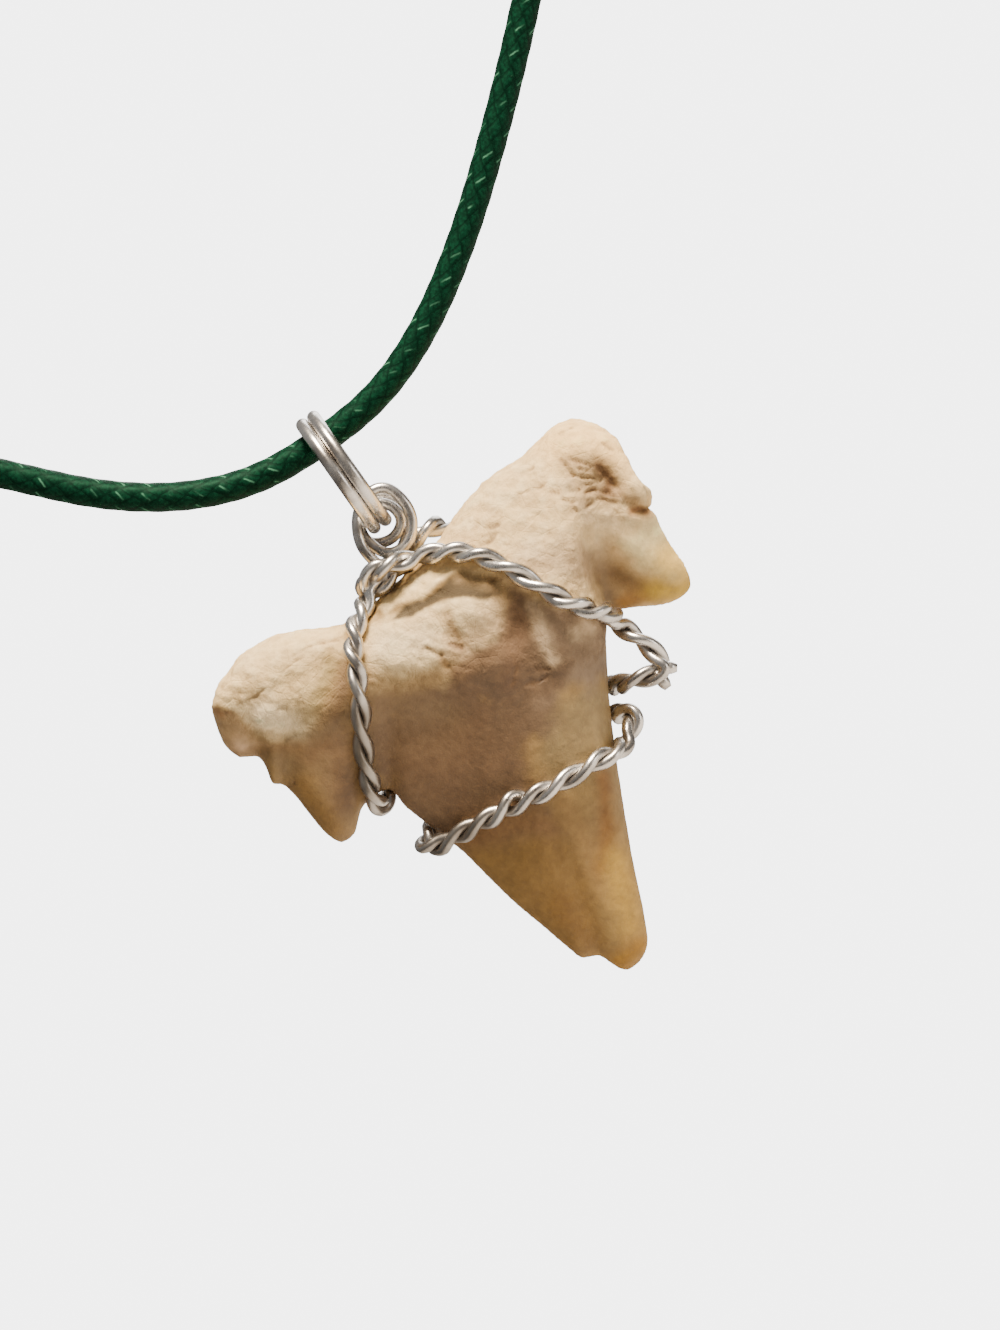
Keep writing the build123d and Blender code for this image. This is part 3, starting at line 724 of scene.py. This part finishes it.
def linear(red, green, blue):
    """A colour given in the 0 to 255 of a picture, as light."""
    shares = np.array((red, green, blue)) / 255
    return np.where(shares > 0.04045, ((shares + 0.055) / 1.055) ** 2.4, shares / 12.92)


crown_ochre = (160, 130, 80)
crack_shade_brown = (112, 84, 54)
tint = np.tile(linear(*crown_ochre), (count, 1))


def painted(colour, share):
    """Lays a colour over the tooth where share is 1."""
    tint[:] = tint + (linear(*colour) - tint) * np.clip(share, 0.0, 1.0)[:, None]


def stroke(wide, *corners):
    """1 along a line of the picture, and fading away from it over a width in pixels."""
    away = np.maximum(line_distance([*corners, corners[-1]])[0] + 0.25 * wide * edge_waver, 0.0)
    return on_front * np.exp(-((away / wide) ** 2))


def paint_strokes(strokes):
    """Paints rows of colour, share, width in pixels and line in the picture, one after another."""
    for colour, share, wide, corners in strokes:
        painted(colour, share * stroke(wide, *corners))


blade_end = [(455, 846), (556, 826), (596, 880), (612, 975), (540, 950)]
brown_middle = [
    (366, 680), (440, 682), (476, 655), (500, 690), (522, 730), (530, 790), (548, 812), (500, 838),
    (455, 846), (425, 838), (385, 800),
]
light_column = [(538, 700), (572, 690), (612, 680), (614, 786), (566, 800), (540, 792)]
tan_middle = [
    (458, 652), (500, 636), (530, 630), (560, 645), (560, 700), (540, 736), (500, 740), (484, 690),
]
right_root = [(522, 596), (615, 600), (615, 676), (580, 690), (534, 700)]
left_cusplet = [(256, 745), (350, 690), (366, 760), (352, 840), (335, 850), (300, 810)]
right_cusplet = [(574, 546), (604, 534), (655, 512), (702, 590), (640, 616), (596, 614)]
cusplet_lit_top = [(614, 540), (655, 512), (694, 576), (668, 578), (640, 566)]
blade_strokes = [
    ((112, 88, 62), 0.7, 13, [(508, 704), (514, 740), (512, 784)]),
    ((102, 80, 56), 0.7, 16, [(480, 742), (514, 738)]),
    ((136, 108, 77), 0.7, 12, [(410, 792), (432, 812)]),
    ((106, 84, 58), 0.6, 14, [(478, 794), (540, 790)]),
    ((142, 108, 68), 1.0, 15, [(470, 836), (530, 822), (552, 826)]),
    ((162, 128, 76), 1.0, 15, [(566, 806), (588, 850), (600, 880)]),
    ((176, 144, 88), 0.7, 14, [(582, 790), (602, 800)]),
    ((140, 103, 46), 0.7, 16, [(560, 905), (586, 938)]),
    ((150, 108, 54), 1.0, 9, [(604, 776), (607, 830), (602, 866)]),
    ((200, 160, 72), 1.0, 16, [(616, 862), (630, 925)]),
    ((178, 130, 38), 1.0, 13, [(622, 962), (640, 945)]),
]
left_cusplet_strokes = [
    ((136, 107, 73), 1.0, 16, [(314, 752), (338, 742), (344, 796)]),
    ((154, 120, 68), 1.0, 13, [(302, 784), (316, 806), (336, 828)]),
    ((100, 76, 50), 0.7, 11, [(348, 776), (345, 806)]),
]
right_cusplet_tones_and_shade = [
    # painted shade in the cusplet's hollow
    ((104, 84, 54), 1.0, 20, [(588, 560), (600, 580), (612, 600)]),
    ((126, 98, 58), 1.0, 14, [(606, 574), (638, 584)]),
    ((164, 120, 54), 1.0, 10, [(624, 602), (652, 592)]),
    ((250, 206, 96), 0.8, 17, [(666, 556), (690, 586)]),
    ((200, 162, 46), 1.0, 13, [(656, 588), (684, 588)]),
]
painted((152, 118, 62), within(blade_end, soft_edge=30, waver=8))
painted((121, 95, 68), within(brown_middle, soft_edge=30, waver=14))
painted((147, 125, 83), within(light_column, soft_edge=32, waver=10))
painted((108, 87, 64), on_front * within(tan_middle, soft_edge=28, waver=12))
painted((140, 118, 93), on_front * within(right_root, soft_edge=26, waver=10))
paint_strokes(blade_strokes)
painted((148, 122, 83), within(left_cusplet, soft_edge=26, waver=8))
paint_strokes(left_cusplet_strokes)
painted((240, 205, 146), within(right_cusplet, soft_edge=16, waver=4))
# The cusplet's top: the lobe's cream, painted lighter as a highlight where light falls on it.
painted((255, 234, 172), within(cusplet_lit_top, soft_edge=22, waver=6))
paint_strokes(right_cusplet_tones_and_shade)

crest = [
    (350, 656), (362, 622), (385, 618), (400, 616), (420, 612), (442, 604), (466, 598), (490, 600),
    (504, 610), (503, 622), (492, 636), (474, 645), (460, 652), (450, 664), (442, 674), (424, 673),
    (400, 678), (372, 682),
]
sliver = [
    (386, 614), (404, 602), (424, 598), (436, 588), (450, 576), (462, 571), (478, 576), (488, 572),
    (480, 558), (436, 556), (420, 570), (400, 590), (376, 606),
]
upper_lobe = [
    (430, 562), (450, 460), (560, 390), (650, 430), (680, 500), (652, 518), (620, 536), (598, 546),
    (576, 544), (580, 566), (590, 588), (600, 608), (560, 604), (520, 592), (488, 574), (450, 566),
]
left_lobe = [
    (190, 698), (216, 706), (232, 708), (246, 716), (256, 728), (266, 736), (282, 736), (296, 731),
    (308, 718), (318, 700), (325, 682), (333, 662), (348, 628), (300, 600), (190, 640),
]
shaded_shelf = [
    (392, 620), (404, 605), (424, 600), (436, 590), (450, 578), (462, 573), (480, 578), (500, 584),
    (502, 598), (484, 602), (464, 598), (444, 602), (426, 608), (412, 617),
]
brown_right = [
    (508, 602), (524, 602), (534, 636), (556, 652), (574, 662), (566, 690), (530, 700), (495, 690),
    (468, 670), (476, 656), (500, 645),
]
below_left_lobe = [
    (190, 704), (220, 709), (240, 716), (252, 730), (262, 742), (262, 770), (190, 770),
]
below_root_tones_and_shade = [
    # painted shade under the crest
    ((178, 146, 98), 0.8, 10, [(364, 684), (400, 684), (440, 676)]),
    ((148, 121, 86), 0.8, 22, [(384, 712), (440, 714)]),
    ((134, 107, 77), 0.8, 22, [(388, 742), (430, 740)]),
    ((170, 140, 104), 0.8, 16, [(484, 656), (506, 640), (510, 616)]),
]
root_foot_tones_light_and_shade = [
    ((120, 94, 66), 0.9, 10, [(458, 673), (478, 660), (502, 652), (517, 636), (520, 612)]),
    # painted shade under the crest
    ((170, 140, 96), 0.7, 10, [(362, 684), (400, 684), (430, 678)]),
    ((168, 138, 102), 0.5, 11, [(448, 655), (464, 653)]),
    # painted shade in the valley
    ((104, 78, 54), 0.6, 10, [(518, 600), (518, 640), (508, 684)]),
    # painted highlight along the ridge
    ((208, 182, 146), 0.85, 7, [(531, 608), (537, 622), (543, 640), (552, 660)]),
    ((200, 174, 138), 0.9, 8, [(577, 634), (587, 628)]),
]
root_tones_light_and_shade = [
    # painted light where the wire's shadow falls on the shelf
    ((170, 142, 98), 0.9, 7, [(460, 576), (480, 580), (497, 586)]),
    ((84, 60, 42), 0.6, 5, [(512, 592), (520, 598)]),
    # painted shade in a crease
    ((166, 136, 98), 0.6, 5, [(448, 616), (452, 627), (458, 636)]),
    ((150, 114, 66), 0.8, 4, [(443, 661), (447, 665)]),
    ((146, 118, 88), 0.8, 3, [(453, 645), (460, 649)]),
    # painted shadow beside the wire
    ((176, 154, 102), 0.8, 9, [(331, 660), (326, 682), (317, 697), (306, 714), (298, 728)]),
    ((206, 180, 124), 0.5, 12, [(312, 668), (302, 690), (290, 700)]),
    # painted shadow beside the wire
    ((132, 106, 73), 1.0, 10, [(349, 664), (343, 696), (336, 722)]),
    ((255, 234, 192), 0.9, 15, [(262, 713), (294, 722)]),
    ((220, 192, 142), 0.5, 13, [(246, 668), (300, 655)]),
    # painted highlight on the crest
    ((255, 232, 188), 0.7, 17, [(386, 646), (426, 642)]),
    ((206, 180, 146), 0.6, 22, [(528, 562), (576, 562)]),
    # painted shade beside the cusplet's root
    ((186, 158, 120), 0.7, 16, [(562, 550), (582, 572)]),
    ((190, 164, 116), 0.5, 12, [(294, 700), (304, 714)]),
]
lobe_tones_light_and_shade = [
    ((152, 120, 78), 0.9, 7, [(232, 754), (262, 749), (300, 748)]),
    # painted highlight on a bump
    ((214, 178, 136), 0.9, 6, [(237, 742), (242, 746)]),
    ((180, 136, 90), 0.7, 4, [(216, 710), (223, 716)]),
    ((130, 94, 60), 0.7, 2.5, [(227, 712), (233, 712)]),
    # painted shade in and around the pits
    ((166, 138, 102), 0.6, 8, [(564, 464), (590, 467), (602, 474)]),
    ((168, 140, 104), 0.7, 13, [(572, 484), (592, 490), (582, 506)]),
    ((108, 77, 45), 0.95, 10, [(598, 468), (609, 480), (607, 494)]),
    ((162, 130, 94), 0.6, 9, [(616, 496), (634, 500)]),
    # painted highlight
    ((236, 210, 168), 0.6, 11, [(588, 518), (606, 519)]),
    # painted shade in the notch
    ((164, 120, 76), 1.0, 6, [(632, 512), (646, 512)]),
    ((136, 100, 62), 0.8, 4, [(638, 511), (645, 514)]),
]
lit_edge = [(556, 444), (590, 438), (612, 452)]
crest_end = [(492, 620), (474, 638)]
paint_strokes(below_root_tones_and_shade)
cream_front = np.maximum(within(crest, soft_edge=34, waver=12), within(sliver, soft_edge=6, waver=3))
cream_front = np.maximum(cream_front, within(upper_lobe, soft_edge=24, waver=6))
cream_front = np.maximum(cream_front, within(left_lobe, soft_edge=20, waver=9))
cream = on_front * cream_front + (1 - on_front) * root
painted((240, 210, 152), cream)
painted((224, 190, 138), cream * np.clip(0.3 + 1.2 * coarse, 0.0, 1.0) * 0.6)
painted((246, 224, 174), cream * np.clip(0.1 + 1.1 * middling, 0.0, 1.0) * 0.8)
painted((246, 222, 170), cream * np.clip(rise / 0.4, 0.0, 1.0) * 0.8)
painted((255, 216, 148), cream * stroke(24, *lit_edge))
painted((196, 168, 132), 0.6 * stroke(20, *crest_end))
painted((104, 82, 58), 0.9 * on_front * within(brown_right, soft_edge=18, waver=8))
paint_strokes(root_foot_tones_light_and_shade)
# Painted shade in the hollow under the ledge.
painted((76, 62, 37), on_front * within(shaded_shelf, soft_edge=6, waver=3))
paint_strokes(root_tones_light_and_shade)
painted((184, 153, 110), on_front * within(below_left_lobe, soft_edge=9, waver=5))
paint_strokes(lobe_tones_light_and_shade)
# Painted shade in the cracks.
painted(crack_shade_brown, 0.65 * crack_shade)
mottle = 1 + 0.03 * coarse + 0.06 * middling + 0.10 * fine + 0.04 * streaks  # of brightness
tint = np.clip(tint * mottle[:, None], 0.0, 1.0)
colours = np.concatenate([tint, np.ones((count, 1))], 1).astype(np.float32)
paint = tooth_mesh.color_attributes.new("paint", "FLOAT_COLOR", "POINT")
paint.data.foreach_set("color", colours.ravel())
root_layer = tooth_mesh.attributes.new("root", "FLOAT", "POINT")
root_layer.data.foreach_set("value", root.astype(np.float32))

blotch_scale, speck_scale = 1500.0, 5200.0
pore_scale, craze_scale = 3000.0, 700.0
blotch_brown, speck_brown = (0.30, 0.21, 0.13, 1.0), (0.24, 0.16, 0.09, 1.0)
tooth_finish = Surface("fossil_tooth")
where = tooth_finish.where
base = tooth_finish.node("ShaderNodeAttribute", {"attribute_name": "paint"})
rooty = tooth_finish.node("ShaderNodeAttribute", {"attribute_name": "root"}, output=2)
blotch = tooth_finish.noise(where, blotch_scale, 5.0, 0.65).kept_within(0.35, 0.65) * 0.22
speck = tooth_finish.noise(where, speck_scale, 3.0, 0.6).kept_within(0.58, 0.76) * 0.25
blotched = tooth_finish.mixed(blotch, base, blotch_brown, "MULTIPLY")
tooth_finish.set("Base Color", tooth_finish.mixed(speck, blotched, speck_brown))
tooth_finish.set("Roughness", 0.55 + rooty * 0.3)
craze_sockets = {"Vector": where, "Scale": craze_scale}
craze = tooth_finish.node("ShaderNodeTexVoronoi", {"feature": "DISTANCE_TO_EDGE"}, craze_sockets)
pores = tooth_finish.noise(where, pore_scale, 4.0, 0.65)
crazing = 1 - craze.kept_within(0.0, 0.05)
tooth_finish.bumped(pores * (0.6 + rooty) - crazing * rooty * 0.2, 0.00010, 0.7)
tooth_finish.on(tooth_piece)

# Wire wrap. One soft silver-coloured wire, folded round the bail ring into an eye and twisted
# on itself by hand, then led crosswise round the tooth and tucked in behind the root.
wire_thick = 0.00075
wire_around = 12
strand_gap = -0.000015  # the strands are pressed together
twist_pitch = 0.0044
twist_waver = 1.2  # how far a hand lets the twist run ahead or behind, in radians
twist_waver_long = 7.0  # in millimetres
steps_per_twist = 28
eye_step = 0.00016
eye_sag = 0.0003
root_below_eye = 0.0011
wire_clearance = 0.00002
tooth_wide = 0.0330
tooth_high = 0.0326
tooth_set_back = 0.00025
probe_from = 0.02  # in front of the tooth or behind it, from where its face is felt for
level_face = 0.1  # a face nearer 0 than this, off the tooth's edge, is level with the ring
slack_place = (516, 803)  # in the picture, where one strand stands off the other
slack_reach = 0.0008
slack_more = 0.9
paired_gap = 1.3  # in strand offsets: nearer the twist's middle than this, a strand has its pair
places_per_row = 6
eye_places_per_row = 5
route_easings, twist_easings, wire_easings = 4, 6, 2
# Two places where the wire is coloured a darker brown and made rougher.
browned_spots = [  # middle in the picture, wide and tall in pixels, share
    (352, 757, 30, 55, 1.0),
    (465, 836, 62, 32, 0.6),
]
cut_ends = [  # foot and tip in the picture: the wire's two ends at the kink
    ((656, 667), (677, 668)),
    ((655, 671), (668, 688)),
]
cut_end_radii = [0.9, 1.2, 1.2, 1.1, 0.7]  # from foot to tip, as shares of the wire's radius
cut_end_front = 0.6  # in wires, in front of the hanging line
# The twisted wire's route: across from the hanging line and down from the root's top, as shares of
# the tooth's width and height, its face from -1 in front to 1 behind, and moved back, in wires.
wire_route = [
    (-0.002, 0.066, 0.0, -0.8),
    (-0.034, 0.071, -0.2, -1.7),
    (-0.070, 0.073, -0.5, -1.9),
    (-0.106, 0.084, -1.0, -0.4),
    (-0.145, 0.106, -1.0, 0.0),
    (-0.182, 0.135, -1.0, 0.0),
    (-0.212, 0.193, -1.0, 0.0),
    (-0.248, 0.255, -1.0, 0.0),
    (-0.282, 0.307, -1.0, 0.0),
    (-0.306, 0.359, -1.0, 0.0),
    (-0.319, 0.388, -1.0, 0.0),
    (-0.328, 0.408, -0.7, 0.0),
    (-0.327, 0.421, 0.0, 0.0),
    (-0.307, 0.418, 0.7, 0.0),
    (-0.267, 0.396, 1.0, 0.0),
    (-0.197, 0.417, 1.0, 0.0),
    (-0.058, 0.466, 1.0, 0.0),
    (0.085, 0.512, 1.0, 0.0),
    (0.146, 0.543, 1.0, 0.0),
    (0.188, 0.561, 0.5, 0.0),
    (0.197, 0.577, -0.2, 0.0),
    (0.177, 0.598, -0.8, 0.0),
    (0.128, 0.607, -1.0, 0.0),
    (0.079, 0.607, -1.0, 0.0),
    (-0.003, 0.601, -1.0, 0.0),
    (-0.092, 0.587, -1.0, 0.0),
    (-0.182, 0.575, -1.0, 0.0),
    (-0.245, 0.569, -1.0, 0.0),
    (-0.289, 0.564, -0.6, 0.0),
    (-0.301, 0.552, 0.0, 0.0),
    (-0.282, 0.534, 0.7, 0.0),
    (-0.230, 0.521, 1.0, 0.0),
    (-0.161, 0.500, 1.0, 1.0),
    (-0.100, 0.454, 1.0, 2.6),
    (-0.050, 0.425, 1.0, 1.8),
    (0.027, 0.408, 1.0, 0.0),
    (0.115, 0.452, 1.0, 0.0),
    (0.170, 0.487, 1.0, 0.0),
    (0.212, 0.508, 0.2, 0.0),
    (0.246, 0.522, 0.0, -0.4),
    (0.276, 0.531, 0.0, -0.6),
    (0.307, 0.538, 0.0, -0.6),
    (0.306, 0.506, 0.0, -0.6),
    (0.300, 0.468, 0.0, -0.6),
    (0.286, 0.428, 0.0, -0.6),
    (0.265, 0.380, -1.0, 0.0),
    (0.239, 0.340, -1.0, 0.0),
    (0.209, 0.294, -1.0, 0.0),
    (0.180, 0.229, -1.0, 0.0),
    (0.153, 0.172, -1.0, 0.0),
    (0.118, 0.123, -1.0, 0.0),
    (0.070, 0.083, -1.0, 0.0),
    (0.014, 0.058, -0.9, -2.3),
    (-0.031, 0.038, 0.0, -4.0),
    (-0.064, 0.034, 0.0, -3.7),
    (-0.094, 0.043, 0.0, -1.9),
    (-0.097, 0.054, 0.0, 0.5),
    (-0.070, 0.054, 0.0, 2.2),
    (-0.024, 0.036, 0.0, 2.4),
    (0.033, 0.026, 0.0, 1.8),
    (0.076, 0.022, 0.0, 1.2),
    (0.109, 0.040, 0.9, 2.0),
    (0.124, 0.095, 1.0, 0.4),
    (0.109, 0.156, 1.0, 0.0),
]
eye_route = [  # across and down the picture in pixels, and back in millimetres: three turns
    (380.0, 566.0, -0.55),
    (370.0, 557.0, -0.74),
    (362.0, 546.0, -0.78),
    (358.0, 532.0, -0.76),
    (358.0, 516.0, -0.68),
    (364.0, 500.0, -0.60),
    (375.0, 489.5, -0.54),
    (388.0, 488.5, -0.48),
    (401.0, 498.0, -0.42),
    (410.0, 512.0, -0.34),
    (412.5, 527.0, -0.26),
    (408.5, 541.0, -0.18),
    (398.5, 550.5, -0.10),
    (386.0, 553.0, -0.02),
    (373.0, 546.0, 0.08),
    (363.0, 535.0, 0.18),
    (359.5, 521.0, 0.27),
    (366.0, 508.0, 0.36),
    (380.0, 502.5, 0.45),
    (393.5, 507.5, 0.54),
    (401.0, 519.0, 0.62),
    (397.5, 532.0, 0.72),
    (386.5, 541.0, 0.86),
    (369.5, 542.2, 1.00),
    (358.6, 530.0, 1.09),
    (358.0, 515.0, 1.13),
    (367.0, 500.0, 1.14),
    (381.0, 494.5, 1.18),
    (396.0, 500.0, 1.22),
    (406.0, 513.0, 1.24),
    (407.0, 530.0, 1.22),
    (402.0, 546.0, 1.10),
    (394.0, 558.0, 0.80),
]
pivot = ring_centre - ring_mean
eye_centre = pivot - eye_sag
tooth_top = eye_centre - root_below_eye
strand_offset = (wire_thick + strand_gap) / 2
stand_off = strand_offset + wire_thick / 2 + wire_clearance
tooth_skin = BVHTree.FromPolygons(
    [vertex.co for vertex in tooth_mesh.vertices], [face.vertices[:] for face in tooth_mesh.polygons]
)


def on_curve(rows, place):
    """The values of a table on a smooth curve through its rows, at a place counted in rows."""
    index = min(int(place), len(rows) - 2)
    past = place - index
    near_rows = [rows[min(max(index + step, 0), len(rows) - 1)] for step in (-1, 0, 1, 2)]
    before, start, stop, after = (np.array(row) for row in near_rows)
    slope = stop - before
    bend = 2 * before - 5 * start + 4 * stop - after
    change = 3 * start - before - 3 * stop + after
    return start + 0.5 * past * (slope + past * (bend + past * change))


def smoothed(points):
    """The same points, each but the two ends moved towards its neighbours."""
    smooth = points.copy()
    smooth[1:-1] = 0.25 * points[:-2] + 0.5 * points[1:-1] + 0.25 * points[2:]
    return smooth


def wire_place(across, down, face, back):
    """The middle of the twisted wire at a row of its route, on the tooth or off its edge."""
    side = -1.0 if face < 0 else 1.0
    x, z = across * tooth_wide, tooth_top - down * tooth_high
    depth = tooth_set_back + face * stand_off
    start = Vector((x, side * probe_from, z))
    hit = tooth_skin.ray_cast(start, Vector((0.0, -side, 0.0)))[0]
    if hit:
        depth = hit.y + side * stand_off
    elif abs(face) < level_face:
        depth = 0.0
    return Vector((x, depth + back * wire_thick, z))


def off_tooth(point):
    """The point, moved off the tooth where the twisted wire would cut into it."""
    point = Vector(point)
    nearest, out, _, gap = tooth_skin.find_nearest(point)
    if (point - nearest).dot(out) < 0:
        return nearest + out * stand_off
    if gap < stand_off:
        return nearest + (point - nearest).normalized() * stand_off
    return point


route_places = np.linspace(0.0, len(wire_route) - 1, places_per_row * (len(wire_route) - 1) + 1)
wire_line = np.array([wire_place(*on_curve(wire_route, place)) for place in route_places])
for easing in range(route_easings):
    smooth_line = smoothed(wire_line)
    wire_line = np.array([smooth_line[0]] + [off_tooth(point) for point in smooth_line[1:]])
wire_line, wire_along = evenly(wire_line, twist_pitch / steps_per_twist)
for easing in range(twist_easings):
    wire_line = smoothed(wire_line)
wire_line = np.array([wire_line[0]] + [off_tooth(point) for point in wire_line[1:]])
sides, tops = frames_along(wire_line, np.array((1.0, 0.0, 0.0)))
waver_along = wire_along / millimetre / twist_waver_long
waver = np.array([noise.noise(Vector((along, 3.0, 5.0))) for along in waver_along])
twist = math.pi / 2 - 2 * math.pi * wire_along / twist_pitch + twist_waver * waver
strand = sides * np.cos(twist)[:, None] + tops * np.sin(twist)[:, None]
strand *= strand_offset
eye_line = []
for place in np.linspace(0.0, len(eye_route) - 1, eye_places_per_row * len(eye_route)):
    px, py, depth = on_curve(eye_route, place).tolist()
    eye_line.append(np.array(in_picture(px, py)) + (0.0, depth * millimetre, 0.0))
eye_line, _ = evenly(np.array(eye_line), eye_step)
from_slack = wire_line - np.array(in_picture(*slack_place))
from_slack[:, 1] = np.maximum(from_slack[:, 1], 0.0)
slack = slack_more * np.exp(-((np.linalg.norm(from_slack, axis=1) / slack_reach) ** 2))
slack_strand = (1 + slack)[:, None] * strand
wire_points = np.concatenate([(wire_line + slack_strand)[::-1], eye_line, wire_line - strand])
wire_points, _ = evenly(wire_points, twist_pitch / steps_per_twist)
for easing in range(wire_easings):
    wire_points = smoothed(wire_points)
wire_mesh = tube("wire_wrap", wire_points, wire_thick / 2, wire_around)
wire_corners = np.array([vertex.co for vertex in wire_mesh.vertices])
wire_corners = wire_corners.reshape(len(wire_points), wire_around, 3)
outward = (wire_corners - wire_points[:, None]) / (wire_thick / 2)
middles = KDTree(len(wire_line))
for index, spot in enumerate(wire_line):
    middles.insert(spot, index)
middles.balance()
near = [middles.find(Vector(point)) for point in wire_points]
towards = np.array([spot for spot, _, _ in near]) - wire_points
paired = np.array([gap < paired_gap * strand_offset for _, _, gap in near])
towards *= (paired / np.maximum(np.linalg.norm(towards, axis=1), 1e-9))[:, None]
# Painted shade: each strand is darker, and rougher, on the side that faces its pair.
inner = np.clip((outward * towards[:, None]).sum(2), 0.0, 1.0) ** 1.5
crevice_shade_layer = wire_mesh.attributes.new("crevice_shade", "FLOAT", "POINT")
crevice_shade_layer.data.foreach_set("value", inner.ravel().astype(np.float32))
wire_x, wire_y = on_picture(wire_points)
dulled = np.zeros(len(wire_points))
for middle_x, middle_y, wide, tall, share in browned_spots:
    across, down = (wire_x - middle_x) / wide, (wire_y - middle_y) / tall
    dulled = np.maximum(dulled, share * np.exp(-(across**2) - down**2))
browned_layer = wire_mesh.attributes.new("browned", "FLOAT", "POINT")
browned_layer.data.foreach_set("value", np.repeat(dulled, wire_around).astype(np.float32))
with_ends = bmesh.new()
with_ends.from_mesh(wire_mesh)
for foot, tip in cut_ends:
    end_line = np.linspace(in_picture(*foot), in_picture(*tip), len(cut_end_radii))
    end_line[:, 1] -= cut_end_front * wire_thick
    end_radii = wire_thick / 2 * np.array(cut_end_radii)[:, None]
    with_ends.from_mesh(tube("wire_end", end_line, end_radii, wire_around))
with_ends.to_mesh(wire_mesh)
with_ends.free()
wire_piece = new_piece("twisted_wire", wire_mesh, "pendant", "silver_wire", "wire_wrap")
silver.on(wire_piece)
